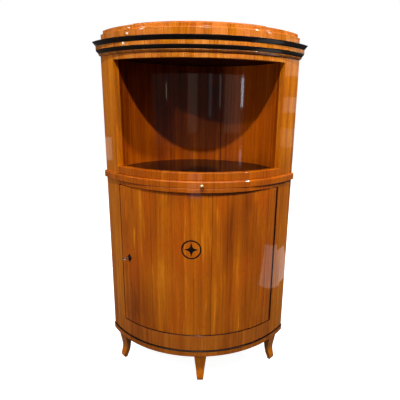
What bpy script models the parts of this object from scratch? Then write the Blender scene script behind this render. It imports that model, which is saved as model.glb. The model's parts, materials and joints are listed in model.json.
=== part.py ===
# Corner cabinet with a bowed front: an open niche above a pull-out slide, and a curved door below.
# Metres, +Z up. The front faces -Y and the origin lies on the floor under the middle of the cabinet.
# Every bowed piece follows one front circle. Angles on it are measured from the middle of the front,
# and a local frame at an angle has X along the front, -Y straight out of it and Z up.

import math

import bmesh
import bpy
from mathutils import Matrix, Vector

# The plan
FRONT_RADIUS = 0.573
WALL_DEPTH = 0.728  # middle of the front to the line where the two wall planes meet
REAR_FLAT = 0.050  # the back corner is cut off by this much
STILE_WIDTH = 0.1303  # along the front circle, from the door opening to the wall plane
FRAME_THICKNESS = 0.028
WALL_THICKNESS = 0.012
REAR_POST_FACE = 0.035
FRONT_FACETS = 24
STILE_FACETS = 4
ROUND_FACETS = 4
EDGE_FACETS = 2
TURNED_SIDES = 16

# Fits
SEAT_GAP = 0.0003
PIN_CLEARANCE = 0.0003
OVERRUN = 0.002

# Heights, from the floor up
FOOT_HEIGHT = 0.1427
PLINTH_THICKNESS = 0.0271
BASE_BEAD_HEIGHT = 0.007
BOTTOM_RAIL_HEIGHT = 0.0837
DOOR_HEIGHT = 0.738
LOWER_RAIL_HEIGHT = 0.0205
SLIDE_FRONT_HEIGHT = 0.032
UPPER_RAIL_HEIGHT = 0.0355
NICHE_HEIGHT = 0.486
TOP_RAIL_HEIGHT = 0.0225
CORNICE_BEAD_HEIGHT = 0.0105
LOWER_BLACK_HEIGHT = 0.016
FRIEZE_HEIGHT = 0.016
CORONA_HEIGHT = 0.019
LOWER_TIER_HEIGHT = 0.037
MIDDLE_TIER_HEIGHT = 0.0185
TOP_TIER_HEIGHT = 0.006

# How far each moulding stands out from the front circle, or back from it
PLINTH_OVERHANG = 0.004
BASE_BEAD_OVERHANG = 0.006
WAIST_OVERHANG = 0.012
CORNICE_BEAD_OVERHANG = 0.012
FRIEZE_OVERHANG = 0.0235
CORONA_OVERHANG = 0.039
LOWER_TIER_SETBACK = 0.006
MIDDLE_TIER_SETBACK = 0.018
TOP_TIER_SETBACK = 0.035
TOP_TIER_WALL_SETBACK = 0.225
NOSING_RADIUS = 0.008
EDGE_RADIUS = 0.0015
CORONA_LIP = 0.003

# Feet
SIDE_FOOT_INSET = 0.0923  # along the front circle, from the wall plane to the middle of the foot
FRONT_FOOT_OFFSET = 0.020  # along the front circle, to the right of the middle
FOOT_TOP_WIDTH = 0.063
FOOT_TOE_WIDTH = 0.032
FOOT_TOP_DEPTH = 0.038
FOOT_SWEEP = 0.010
REAR_FOOT_TOP_WIDTH = 0.044
REAR_FOOT_TOE_WIDTH = 0.030
REAR_FOOT_INSET = 0.012
# Each row holds the share of the height, of the sweep back and of the depth.
FOOT_OUTLINE_SHARES = (
    (0.00, 0.05, 0.38),
    (0.06, -0.44, 0.55),
    (0.13, -0.37, 0.63),
    (0.25, 0.30, 0.68),
    (0.33, 0.75, 0.63),
    (0.42, 1.00, 0.61),
    (0.52, 0.97, 0.66),
    (0.66, 0.68, 0.78),
    (0.82, 0.30, 0.92),
    (1.00, 0.00, 1.00),
)

# Boards
BOARD_THICKNESS = 0.018
SHELF_THICKNESS = 0.016
SHELF_SETBACK = 0.075
SHELF_HEIGHT_SHARE = 0.48
BATTEN_SIZE = 0.020
ROOF_THICKNESS = 0.012
NICHE_FLOOR_DROP = 0.008
NICHE_FLOOR_THICKNESS = 0.016
NICHE_REAR_SPACE = 0.266  # from the deepest point of the niche to the corner of the walls
NICHE_REVEAL = 0.003
NICHE_BACK_THICKNESS = 0.012

# Door
DOOR_THICKNESS = 0.022
DOOR_GAP = 0.003
DOOR_TOP_GAP = 0.0035
LOCK_SIDE_GAP = 0.0024
PIVOT_DEPTH = 0.010  # pivot axis behind the front circle
PIVOT_TO_STILE = 0.0150
PIVOT_TO_DOOR_EDGE = 0.0085
PIVOT_PIN_RADIUS = 0.003
PIVOT_PIN_LENGTH = 0.011
PIVOT_COLLAR_RADIUS = 0.005
PIVOT_PLATE_WIDTH = 0.012
PIVOT_PLATE_LENGTH = 0.044
PIVOT_PLATE_THICKNESS = 0.002
PIVOT_PLATE_OVERHANG = 0.008
STOP_INSET = 0.0976  # along the front circle, from the lock edge of the door
STOP_WIDTH = 0.040
STOP_DEPTH = 0.014
STOP_HEIGHT = 0.016
STOP_GAP = 0.0008

# Inlay on the door
INLAY_OFFSET = -0.027  # from the middle of the front, measured straight across
INLAY_HEIGHT = 0.463  # centre above the bottom of the door
INLAY_THICKNESS = 0.0015
RING_RADIUS = 0.0483
RING_WIDTH = 0.007
RING_SIDES = 48
STAR_TIP = 0.032
STAR_VALLEY = 0.012
STAR_BEND = 0.0142
STAR_EDGE_FACETS = 4

# Lock
KEY_INSET = 0.0556  # along the front circle, from the lock edge of the door
KEY_HEIGHT = 0.371  # above the bottom of the door
LOCK_LENGTH = 0.074
LOCK_ABOVE_KEY = 0.034
LOCK_BELOW_KEY = 0.030
LOCK_DEPTH = 0.011
LOCK_PROUD = 0.0015
LOCK_WALL = 0.0012
BOLT_LENGTH = 0.066
BOLT_HEIGHT = 0.014
BOLT_THICKNESS = 0.006
BOLT_ABOVE_KEY = 0.0065
BOLT_THROW = 0.009
BOLT_SLOT_HEIGHT = 0.0046
STUD_RADIUS = 0.002
STUD_FROM_END = 0.008
TALON_BEFORE_KEY = 0.0008
TALON_WIDTH = 0.0105
TALON_RISE = 0.0032
MORTISE_DEPTH = 0.009
STRIKE_THICKNESS = 0.0012
STRIKE_WIDTH = 0.014
STRIKE_LENGTH = 0.044
KEY_SHANK_RADIUS = 0.0025
KEY_COLLAR_RADIUS = 0.0043
KEY_COLLAR_LENGTH = 0.004
KEY_SHANK_REACH = 0.018
KEY_BIT_REACH = 0.009
KEY_BIT_THICKNESS = 0.0025
KEY_BIT_LENGTH = 0.0052
BOW_LENGTH = 0.027
BOW_WIDTH = 0.023
BOW_WIRE = 0.0021
BOW_SIDES = 8
BOW_FACETS = 28
KEYHOLE_SLOT = 0.0036
ESCUTCHEON_WIDTH = 0.034
ESCUTCHEON_ABOVE_KEY = 0.017
ESCUTCHEON_BELOW_KEY = 0.029
ESCUTCHEON_THICKNESS = 0.0012
ESCUTCHEON_PROUD = 0.0006

# Pull-out slide
SLIDE_GAP = 0.001
SLIDE_SIDE_GAP = 0.002
SLIDE_BEARING_GAP = 0.0003
SLIDE_FRONT_INSET = 0.010
SLIDE_BOARD_THICKNESS = 0.016
SLIDE_REAR_SPACE = 0.308  # from the rear edge of the slide to the corner of the walls
SLIDE_WALL_GAP = 0.006
SLIDE_STAYS_IN = 0.175  # how much of its depth is left under the niche when it is pulled out
CLEAT_WIDTH = 0.200
CLEAT_DEPTH = 0.014
CLEAT_HEIGHT = 0.012
STOP_BLOCK_WIDTH = 0.060
STOP_BLOCK_DEPTH = 0.014
GUIDE_WIDTH = 0.018
GUIDE_LENGTH = 0.125
KICKER_WIDTH = 0.024
KICKER_LENGTH = 0.130
KNOB_RADIUS = 0.0092
KNOB_ROSE_RADIUS = 0.0055
KNOB_ROSE_THICKNESS = 0.0015
KNOB_NECK_RADIUS = 0.0032
KNOB_NECK_LENGTH = 0.004
KNOB_STUD_RADIUS = 0.0025
KNOB_STUD_LENGTH = 0.008
KNOB_HEIGHT = 0.014
KNOB_OFFSET = 0.020  # along the front circle, to the right of the middle

# Values worked out from the sizes above
ROOT_TWO = math.sqrt(2)
APEX_Y = (CORONA_OVERHANG - WALL_DEPTH + REAR_FLAT / 2) / 2
CENTRE_Y = APEX_Y + FRONT_RADIUS
CORNER_Y = APEX_Y + WALL_DEPTH
REAR_Y = CORNER_Y - REAR_FLAT / 2
FRAME_BACK = FRONT_RADIUS - FRAME_THICKNESS
BOARD_INSET = WALL_THICKNESS + SEAT_GAP
POST_INNER_Y = REAR_Y - (REAR_POST_FACE + WALL_THICKNESS) / ROOT_TWO
WALL_ANGLE = math.pi / 4 + math.asin((WALL_DEPTH - FRONT_RADIUS) / (FRONT_RADIUS * ROOT_TWO))
STILE_ANGLE = WALL_ANGLE - STILE_WIDTH / FRONT_RADIUS
SIDE_FOOT_ANGLE = WALL_ANGLE - SIDE_FOOT_INSET / FRONT_RADIUS
FRONT_FOOT_ANGLE = FRONT_FOOT_OFFSET / FRONT_RADIUS
NICHE_BACK_Y = CORNER_Y - NICHE_REAR_SPACE
SLIDE_REAR_Y = CORNER_Y - SLIDE_REAR_SPACE
SLIDE_TRAVEL = SLIDE_REAR_Y - APEX_Y - SLIDE_STAYS_IN

PLINTH_Z = FOOT_HEIGHT
BASE_BEAD_Z = PLINTH_Z + PLINTH_THICKNESS
CARCASS_Z = BASE_BEAD_Z + BASE_BEAD_HEIGHT
BOTTOM_RAIL_TOP = CARCASS_Z + BOTTOM_RAIL_HEIGHT
DOOR_Z = BOTTOM_RAIL_TOP + DOOR_GAP
DOOR_TOP = DOOR_Z + DOOR_HEIGHT
LOWER_RAIL_Z = DOOR_TOP + DOOR_TOP_GAP
LOWER_RAIL_TOP = LOWER_RAIL_Z + LOWER_RAIL_HEIGHT
SLIDE_Z = LOWER_RAIL_TOP + SLIDE_GAP
SLIDE_TOP = SLIDE_Z + SLIDE_FRONT_HEIGHT
UPPER_RAIL_Z = SLIDE_TOP + SLIDE_GAP
UPPER_RAIL_TOP = UPPER_RAIL_Z + UPPER_RAIL_HEIGHT
NICHE_FLOOR_TOP = UPPER_RAIL_TOP - NICHE_FLOOR_DROP
TOP_RAIL_Z = UPPER_RAIL_TOP + NICHE_HEIGHT
CORNICE_Z = TOP_RAIL_Z + TOP_RAIL_HEIGHT
CEILING_Z = CORNICE_Z - BOARD_THICKNESS
LOWER_BLACK_Z = CORNICE_Z + CORNICE_BEAD_HEIGHT
FRIEZE_Z = LOWER_BLACK_Z + LOWER_BLACK_HEIGHT
CORONA_Z = FRIEZE_Z + FRIEZE_HEIGHT
LOWER_TIER_Z = CORONA_Z + CORONA_HEIGHT
MIDDLE_TIER_Z = LOWER_TIER_Z + LOWER_TIER_HEIGHT
TOP_TIER_Z = MIDDLE_TIER_Z + MIDDLE_TIER_HEIGHT
SHELF_Z = BOTTOM_RAIL_TOP + (LOWER_RAIL_Z - BOTTOM_RAIL_TOP) * SHELF_HEIGHT_SHARE
DUST_BOARD_Z = LOWER_RAIL_TOP - BOARD_THICKNESS

DOOR_BACK = FRONT_RADIUS - DOOR_THICKNESS
PIVOT_RADIUS = FRONT_RADIUS - PIVOT_DEPTH
PIVOT_ANGLE = STILE_ANGLE - math.asin(PIVOT_TO_STILE / PIVOT_RADIUS)
DOOR_HINGE_ANGLE = PIVOT_ANGLE + math.asin(PIVOT_TO_DOOR_EDGE / PIVOT_RADIUS)
DOOR_LOCK_ANGLE = STILE_ANGLE - math.asin(LOCK_SIDE_GAP / FRONT_RADIUS)
SLIDE_ANGLE = STILE_ANGLE - math.asin(SLIDE_SIDE_GAP / FRONT_RADIUS)
RAIL_ANGLE = STILE_ANGLE - math.asin(SEAT_GAP / FRAME_BACK)
STOP_ANGLE = DOOR_LOCK_ANGLE - STOP_INSET / FRONT_RADIUS
LOCK_ANGLE = math.asin(LOCK_LENGTH / 2 / DOOR_BACK) - DOOR_LOCK_ANGLE
KEY_ANGLE = KEY_INSET / FRONT_RADIUS - DOOR_LOCK_ANGLE
KEY_Z = DOOR_Z + KEY_HEIGHT
LOCK_LEFT = DOOR_BACK * math.tan(-DOOR_LOCK_ANGLE - LOCK_ANGLE) + SEAT_GAP
LOCK_BACK = DOOR_BACK - LOCK_PROUD
LOCK_FRONT = LOCK_BACK + LOCK_DEPTH
BOLT_BACK = LOCK_BACK + LOCK_WALL + (LOCK_DEPTH - LOCK_WALL - BOLT_THICKNESS) / 2
BOLT_Z = KEY_Z + BOLT_ABOVE_KEY
KNOB_ANGLE = KNOB_OFFSET / FRONT_RADIUS


def material(name, colour, roughness, metallic=0.0):
    result = bpy.data.materials.new(name)
    result.use_nodes = True
    shader = result.node_tree.nodes["Principled BSDF"]
    shader.inputs["Base Color"].default_value = (*colour, 1.0)
    shader.inputs["Roughness"].default_value = roughness
    shader.inputs["Metallic"].default_value = metallic
    return result


def front_point(radius, angle, height=0.0):
    return Vector((radius * math.sin(angle), CENTRE_Y - radius * math.cos(angle), height))


def local_frame(angle):
    # Stands at the centre of the front circle, turned so that -Y points out of the front.
    return Matrix.Translation((0.0, CENTRE_Y, 0.0)) @ Matrix.Rotation(angle, 4, "Z")


def wall_angle(radius, inset=0.0):
    # Where a circle about the front's centre meets the wall plane, or a plane inside it.
    reach = WALL_DEPTH - FRONT_RADIUS - inset * ROOT_TWO
    return math.pi / 4 + math.asin(reach / (radius * ROOT_TWO))


def span(start, end):
    # The ends, and between them the facet lines that all bowed pieces share.
    step = 2 * STILE_ANGLE / FRONT_FACETS
    half = FRONT_FACETS // 2
    lines = [step * i for i in range(-half, half + 1)]
    nearest = step / 8
    return [start] + [line for line in lines if start + nearest < line < end - nearest] + [end]


def stile_span(radius, inset=0.0):
    end = wall_angle(radius, inset)
    return [STILE_ANGLE + (end - STILE_ANGLE) * i / STILE_FACETS for i in range(STILE_FACETS + 1)]


def whole_span(radius, inset=0.0):
    beyond = stile_span(radius, inset)
    return [-angle for angle in reversed(beyond)] + span(-STILE_ANGLE, STILE_ANGLE)[1:-1] + beyond


def rail_span(radius):
    return span(-RAIL_ANGLE, RAIL_ANGLE)


def finish(mesh, name, finish_material, smooth=math.radians(35.0)):
    bmesh.ops.recalc_face_normals(mesh, faces=mesh.faces)
    data = bpy.data.meshes.new(name)
    mesh.to_mesh(data)
    mesh.free()
    data.materials.append(finish_material)
    data.shade_smooth()
    data.set_sharp_from_angle(angle=smooth)
    result = bpy.data.objects.new(name, data)
    bpy.context.scene.collection.objects.link(result)
    return result


def sweep(name, profile, angles, finish_material):
    # Carries a profile of (radius, height) points round the front circle.
    mesh = bmesh.new()
    columns = [[mesh.verts.new(front_point(radius, angle, height)) for angle in angles(radius)]
               for radius, height in profile]
    for near, far in zip(columns, columns[1:] + columns[:1]):
        for i in range(len(near) - 1):
            mesh.faces.new((near[i], near[i + 1], far[i + 1], far[i]))
    mesh.faces.new([column[0] for column in columns])
    mesh.faces.new([column[-1] for column in columns])
    return finish(mesh, name, finish_material)


def prism(name, outline, bottom, top, finish_material, frame=Matrix.Identity(4)):
    mesh = bmesh.new()
    face = mesh.faces.new([mesh.verts.new((point[0], point[1], bottom)) for point in outline])
    raised = bmesh.ops.extrude_face_region(mesh, geom=[face])
    moved = [item for item in raised["geom"] if isinstance(item, bmesh.types.BMVert)]
    bmesh.ops.translate(mesh, verts=moved, vec=(0.0, 0.0, top - bottom))
    mesh.transform(frame)
    return finish(mesh, name, finish_material)


def box(name, across, outward, upward, finish_material, angle=0.0):
    # Ranges along X, straight out of the front from the circle's centre, and up.
    outline = [(across[0], -outward[1]), (across[1], -outward[1]),
               (across[1], -outward[0]), (across[0], -outward[0])]
    return prism(name, outline, upward[0], upward[1], finish_material, local_frame(angle))


def plate(name, radius, inset, rear, bottom, top, finish_material):
    # A board that fills the plan behind a front circle, between the walls, back to the rear line.
    outline = [front_point(radius, angle) for angle in whole_span(radius, inset)]
    half_rear = CORNER_Y - inset * ROOT_TWO - rear
    outline += [Vector((half_rear, rear, 0.0)), Vector((-half_rear, rear, 0.0))]
    return prism(name, outline, bottom, top, finish_material)


def turned(name, profile, frame, finish_material, sides=TURNED_SIDES):
    # Profile points are (radius, distance out of the front), turned about the outward axis.
    mesh = bmesh.new()
    points = [mesh.verts.new((radius, -distance, 0.0)) for radius, distance in profile]
    edges = [mesh.edges.new(pair) for pair in zip(points, points[1:])]
    bmesh.ops.spin(mesh, geom=points + edges, cent=(0, 0, 0), axis=(0, 1, 0), angle=2 * math.pi,
                   steps=sides, use_merge=True)
    bmesh.ops.remove_doubles(mesh, verts=mesh.verts, dist=SEAT_GAP / 10)
    mesh.transform(frame)
    return finish(mesh, name, finish_material)


def upright(name, radius, bottom, top, place, finish_material, sides=TURNED_SIDES):
    mesh = bmesh.new()
    bmesh.ops.create_cone(mesh, cap_ends=True, segments=sides, radius1=radius, radius2=radius,
                          depth=top - bottom)
    mesh.transform(Matrix.Translation((place[0], place[1], (bottom + top) / 2)))
    return finish(mesh, name, finish_material)


def combine(target, tool, operation):
    tool.hide_render = True
    tool.display_type = "WIRE"
    modifier = target.modifiers.new(tool.name, "BOOLEAN")
    modifier.operation = operation
    modifier.object = tool
    return target


def axis_empty(name, frame, parent=None):
    result = bpy.data.objects.new(name, None)
    bpy.context.scene.collection.objects.link(result)
    if parent is not None:
        result.parent = parent
        result.matrix_parent_inverse = parent.matrix_basis.inverted()
    result.matrix_basis = frame
    return result


def hang(parent, *pieces):
    # Gives each piece, with the tools that cut it, the axis as its origin and parent.
    for piece in pieces:
        piece.data.transform(parent.matrix_basis.inverted())
        piece.parent = parent
        for modifier in piece.modifiers:
            if modifier.object.parent is None:
                hang(parent, modifier.object)


def corner_arc(centre, radius, start, end):
    # Points of a rounded corner, with angles in degrees from straight outward.
    facets = ROUND_FACETS if radius > 2 * EDGE_RADIUS else EDGE_FACETS
    angles = [math.radians(start + (end - start) * i / facets) for i in range(facets + 1)]
    return [(centre[0] + radius * math.cos(a), centre[1] + radius * math.sin(a)) for a in angles]


def rail_profile(back, front, bottom, top, lower_radius, upper_radius):
    # A rectangle whose two front edges are rounded.
    profile = [(back, top), (back, bottom)]
    profile += corner_arc((front - lower_radius, bottom + lower_radius), lower_radius, -90, 0)
    profile += corner_arc((front - upper_radius, top - upper_radius), upper_radius, 0, 90)
    return profile


def bead_profile(back, front, bottom, top):
    radius = (top - bottom - SEAT_GAP) / 2
    middle = (front - radius, bottom + SEAT_GAP + radius)
    return [(back, top), (back, bottom + SEAT_GAP)] + corner_arc(middle, radius, -90, 0) \
        + corner_arc(middle, radius, 0, 90)[1:]


def hollow_profile(back, inner, outer, bottom, top, lip):
    # An ovolo that swells from its lower edge out to a lip below its top.
    rise = top - lip - bottom
    points = [(back, top), (back, bottom)]
    for i in range(ROUND_FACETS + 1):
        turn = math.pi / 2 * i / ROUND_FACETS
        points.append((inner + (outer - inner) * math.sin(turn), bottom + rise * (1 - math.cos(turn))))
    points.append((outer, top - lip / 2))
    points.append((outer - lip / 2, top))
    return points


def base(wood, black):
    for name, angle in (("foot_front", FRONT_FOOT_ANGLE), ("foot_left", -SIDE_FOOT_ANGLE),
                        ("foot_right", SIDE_FOOT_ANGLE)):
        foot(name, angle, wood)
    rear_foot(wood)
    profile = rail_profile(FRAME_BACK, FRONT_RADIUS + PLINTH_OVERHANG, PLINTH_Z + SEAT_GAP,
                           BASE_BEAD_Z, EDGE_RADIUS, EDGE_RADIUS)
    sweep("plinth_edge", profile, whole_span, wood)
    plate("plinth_board", FRAME_BACK - SEAT_GAP, 0.0, REAR_Y, PLINTH_Z + SEAT_GAP, BASE_BEAD_Z, wood)
    sweep("base_bead", bead_profile(FRAME_BACK, FRONT_RADIUS + BASE_BEAD_OVERHANG, BASE_BEAD_Z,
                                    CARCASS_Z), whole_span, black)


def foot(name, angle, wood):
    # Seen from the front it tapers straight; its outer face sweeps back and kicks out at the toe.
    mesh = bmesh.new()
    rows = []
    for height_share, sweep_share, depth_share in FOOT_OUTLINE_SHARES:
        half = (FOOT_TOE_WIDTH + (FOOT_TOP_WIDTH - FOOT_TOE_WIDTH) * height_share) / 2
        outer = FRONT_RADIUS - FOOT_SWEEP * sweep_share
        inner = outer - FOOT_TOP_DEPTH * depth_share
        height = FOOT_HEIGHT * height_share
        rows.append([mesh.verts.new(corner) for corner in
                     ((-half, -outer, height), (half, -outer, height),
                      (half, -inner, height), (-half, -inner, height))])
    for lower, upper in zip(rows, rows[1:]):
        for i in range(4):
            j = (i + 1) % 4
            mesh.faces.new((lower[i], lower[j], upper[j], upper[i]))
    mesh.faces.new(rows[0])
    mesh.faces.new(rows[-1])
    mesh.transform(local_frame(angle))
    finish(mesh, name, wood)


def rear_foot(wood):
    mesh = bmesh.new()
    bmesh.ops.create_cone(mesh, cap_ends=True, segments=4, radius1=REAR_FOOT_TOE_WIDTH / ROOT_TWO,
                          radius2=REAR_FOOT_TOP_WIDTH / ROOT_TWO, depth=FOOT_HEIGHT)
    middle_y = REAR_Y - REAR_FOOT_INSET - REAR_FOOT_TOP_WIDTH / 2
    mesh.transform(Matrix.Translation((0.0, middle_y, FOOT_HEIGHT / 2))
                   @ Matrix.Rotation(math.pi / 4, 4, "Z"))
    finish(mesh, "foot_rear", wood)


def stiles_and_rails(wood):
    block = [(FRAME_BACK, CARCASS_Z + SEAT_GAP), (FRONT_RADIUS, CARCASS_Z + SEAT_GAP),
             (FRONT_RADIUS, CORNICE_Z), (FRAME_BACK, CORNICE_Z)]
    sweep("right_stile", block, stile_span, wood)
    left = sweep("left_stile", block, lambda radius: [-a for a in stile_span(radius)], wood)
    bottom = sweep("bottom_rail",
                   rail_profile(FRAME_BACK, FRONT_RADIUS, CARCASS_Z + SEAT_GAP, BOTTOM_RAIL_TOP,
                                EDGE_RADIUS, EDGE_RADIUS), rail_span, wood)
    lower = sweep("lower_waist_rail",
                  rail_profile(FRAME_BACK, FRONT_RADIUS, LOWER_RAIL_Z, LOWER_RAIL_TOP,
                               EDGE_RADIUS, EDGE_RADIUS * 2), rail_span, wood)
    sweep("upper_waist_rail",
          rail_profile(FRAME_BACK, FRONT_RADIUS, UPPER_RAIL_Z, UPPER_RAIL_TOP,
                       EDGE_RADIUS, EDGE_RADIUS * 2), rail_span, wood)
    sweep("top_rail", rail_profile(FRAME_BACK, FRONT_RADIUS, TOP_RAIL_Z, CORNICE_Z,
                                   EDGE_RADIUS, EDGE_RADIUS), rail_span, wood)
    waist = rail_profile(FRONT_RADIUS + SEAT_GAP, FRONT_RADIUS + WAIST_OVERHANG, SLIDE_Z, SLIDE_TOP,
                         EDGE_RADIUS, NOSING_RADIUS)
    sweep("right_waist_moulding", waist, stile_span, wood)
    sweep("left_waist_moulding", waist, lambda radius: [-a for a in stile_span(radius)], wood)
    return left, bottom, lower


def cornice(wood, black):
    sweep("cornice_bead", bead_profile(FRAME_BACK, FRONT_RADIUS + CORNICE_BEAD_OVERHANG,
                                       CORNICE_Z, LOWER_BLACK_Z), whole_span, wood)
    sweep("cornice_lower_black",
          hollow_profile(FRAME_BACK, FRONT_RADIUS + CORNICE_BEAD_OVERHANG,
                         FRONT_RADIUS + FRIEZE_OVERHANG, LOWER_BLACK_Z + SEAT_GAP, FRIEZE_Z,
                         EDGE_RADIUS), whole_span, black)
    frieze = [(FRAME_BACK, FRIEZE_Z + SEAT_GAP), (FRONT_RADIUS + FRIEZE_OVERHANG, FRIEZE_Z + SEAT_GAP),
              (FRONT_RADIUS + FRIEZE_OVERHANG, CORONA_Z), (FRAME_BACK, CORONA_Z)]
    sweep("cornice_frieze", frieze, whole_span, wood)
    sweep("cornice_upper_black",
          hollow_profile(FRAME_BACK, FRONT_RADIUS + FRIEZE_OVERHANG, FRONT_RADIUS + CORONA_OVERHANG,
                         CORONA_Z + SEAT_GAP, LOWER_TIER_Z, CORONA_LIP), whole_span, black)
    sweep("tier_lower", rail_profile(FRAME_BACK, FRONT_RADIUS - LOWER_TIER_SETBACK,
                                     LOWER_TIER_Z + SEAT_GAP, MIDDLE_TIER_Z, EDGE_RADIUS, EDGE_RADIUS),
          whole_span, wood)
    sweep("tier_middle", rail_profile(FRAME_BACK, FRONT_RADIUS - MIDDLE_TIER_SETBACK,
                                      MIDDLE_TIER_Z + SEAT_GAP, TOP_TIER_Z, EDGE_RADIUS, EDGE_RADIUS),
          whole_span, wood)
    plate("roof_board", FRAME_BACK - SEAT_GAP, BOARD_INSET, POST_INNER_Y - SEAT_GAP,
          TOP_TIER_Z - ROOF_THICKNESS, TOP_TIER_Z, wood)
    top_tier(wood)


def top_tier(wood):
    # Narrower than the tiers below it, with sides that run parallel to the walls.
    radius = FRONT_RADIUS - TOP_TIER_SETBACK
    limit = wall_angle(radius, TOP_TIER_WALL_SETBACK)
    corner = CORNER_Y - TOP_TIER_WALL_SETBACK * ROOT_TWO
    half_rear = REAR_FLAT / 2
    outline = [front_point(radius, angle) for angle in span(-limit, limit)]
    outline += [(half_rear, corner - half_rear), (-half_rear, corner - half_rear)]
    prism("tier_top", outline, TOP_TIER_Z + SEAT_GAP, TOP_TIER_Z + TOP_TIER_HEIGHT, wood)


def walls(wood):
    # Each board lies in a wall plane, from behind its stile to the post in the back corner.
    bottom = BASE_BEAD_Z + SEAT_GAP
    post = Vector((REAR_FLAT / 2 + REAR_POST_FACE / ROOT_TWO, REAR_Y - REAR_POST_FACE / ROOT_TWO))
    along = Vector((1.0, -1.0)) / ROOT_TWO
    inward = Vector((-1.0, -1.0)) / ROOT_TWO * WALL_THICKNESS
    stile = front_point(FRAME_BACK - SEAT_GAP, wall_angle(FRAME_BACK - SEAT_GAP)).to_2d()
    start = post + along * SEAT_GAP
    outline = [start, stile, stile + inward, start + inward]
    prism("right_back_wall", outline, bottom, TOP_TIER_Z, wood)
    prism("left_back_wall", mirrored(outline), bottom, TOP_TIER_Z, wood)
    half = [Vector((REAR_FLAT / 2, REAR_Y)), post, post + inward]
    prism("rear_post", half + mirrored(half)[::-1], bottom, TOP_TIER_Z, wood)


def mirrored(outline):
    return [Vector((-point[0], point[1])) for point in outline]


def boards(wood, black):
    rear = POST_INNER_Y - SEAT_GAP
    front = FRAME_BACK - SEAT_GAP
    plate("cupboard_bottom", front, BOARD_INSET, rear, BOTTOM_RAIL_TOP - BOARD_THICKNESS,
          BOTTOM_RAIL_TOP, wood)
    plate("inner_shelf", FRONT_RADIUS - SHELF_SETBACK, BOARD_INSET, rear, SHELF_Z,
          SHELF_Z + SHELF_THICKNESS, wood)
    plate("dust_board", front, BOARD_INSET, rear, DUST_BOARD_Z, LOWER_RAIL_TOP, wood)
    plate("niche_floor", front, BOARD_INSET, rear, NICHE_FLOOR_TOP - NICHE_FLOOR_THICKNESS,
          NICHE_FLOOR_TOP, black)
    plate("niche_ceiling", front, BOARD_INSET, rear, CEILING_Z, CORNICE_Z, wood)
    shelf_battens(wood)
    niche_back(wood)


def shelf_battens(wood):
    # Strips along the walls that the inner shelf lies on.
    along = Vector((1.0, -1.0)) / ROOT_TWO
    inward = Vector((-1.0, -1.0)) / ROOT_TWO
    front = FRONT_RADIUS - SHELF_SETBACK
    start = front_point(front, wall_angle(front, BOARD_INSET)).to_2d() - along * BATTEN_SIZE
    rear = POST_INNER_Y - BATTEN_SIZE
    end = Vector((CORNER_Y - BOARD_INSET * ROOT_TWO - rear, rear))
    outline = [start, end, end + inward * BATTEN_SIZE, start + inward * BATTEN_SIZE]
    top = SHELF_Z - SEAT_GAP
    prism("right_shelf_batten", outline, top - BATTEN_SIZE, top, wood)
    prism("left_shelf_batten", mirrored(outline), top - BATTEN_SIZE, top, wood)


def niche_back(wood):
    # A second circle that starts at the stiles' back edges and reaches the niche's full depth.
    edge = front_point(FRAME_BACK - SEAT_GAP, STILE_ANGLE + NICHE_REVEAL / FRAME_BACK)
    middle_y = (NICHE_BACK_Y ** 2 - edge.x ** 2 - edge.y ** 2) / (2 * (NICHE_BACK_Y - edge.y))
    inner = NICHE_BACK_Y - middle_y
    outer = inner + NICHE_BACK_THICKNESS
    gap = CENTRE_Y - middle_y
    reach = FRAME_BACK - SEAT_GAP
    outline = []
    for radius, direction in ((inner, 1), (outer, -1)):
        end = math.acos((radius ** 2 + gap ** 2 - reach ** 2) / (2 * radius * gap))
        for i in range(FRONT_FACETS + 1):
            angle = direction * end * (2 * i / FRONT_FACETS - 1)
            outline.append((radius * math.sin(angle), middle_y + radius * math.cos(angle)))
    prism("niche_back", outline, NICHE_FLOOR_TOP + SEAT_GAP, CEILING_Z - SEAT_GAP, wood)


def pivot_plates(bottom_rail, lower_rail, brass):
    # The fixed halves of the pin hinges, let into the rails below and above the door.
    for name, rail, face, direction in (("lower_pivot_plate", bottom_rail, BOTTOM_RAIL_TOP, 1),
                                        ("upper_pivot_plate", lower_rail, LOWER_RAIL_Z, -1)):
        gap = DOOR_GAP if direction > 0 else DOOR_TOP_GAP
        pocket = pivot_slot(name + "_pocket", face, direction, SEAT_GAP, brass)
        combine(rail, pocket, "DIFFERENCE")
        body = pivot_slot(name, face, direction, 0.0, brass)
        place = front_point(PIVOT_RADIUS, PIVOT_ANGLE)
        inside = face - direction * PIVOT_PLATE_THICKNESS / 2
        collar_end = face + direction * (gap - SEAT_GAP)
        pin_end = face + direction * (gap + PIVOT_PIN_LENGTH)
        collar = upright(name + "_collar", PIVOT_COLLAR_RADIUS, min(inside, collar_end),
                         max(inside, collar_end), place, brass)
        pin = upright(name + "_pin", PIVOT_PIN_RADIUS, min(inside, pin_end), max(inside, pin_end),
                      place, brass)
        combine(body, collar, "UNION")
        combine(body, pin, "UNION")


def pivot_slot(name, face, direction, clearance, brass):
    # A plate flush with a horizontal face, or with a clearance the pocket that it lies in.
    across = (PIVOT_PLATE_OVERHANG - PIVOT_PLATE_LENGTH - clearance, PIVOT_PLATE_OVERHANG + clearance)
    outward = (PIVOT_RADIUS - PIVOT_PLATE_WIDTH / 2 - clearance,
               PIVOT_RADIUS + PIVOT_PLATE_WIDTH / 2 + clearance)
    deep = face - direction * (PIVOT_PLATE_THICKNESS + clearance)
    open_side = face + direction * (OVERRUN if clearance else 0.0)
    return box(name, across, outward, (min(deep, open_side), max(deep, open_side)), brass, PIVOT_ANGLE)


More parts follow.
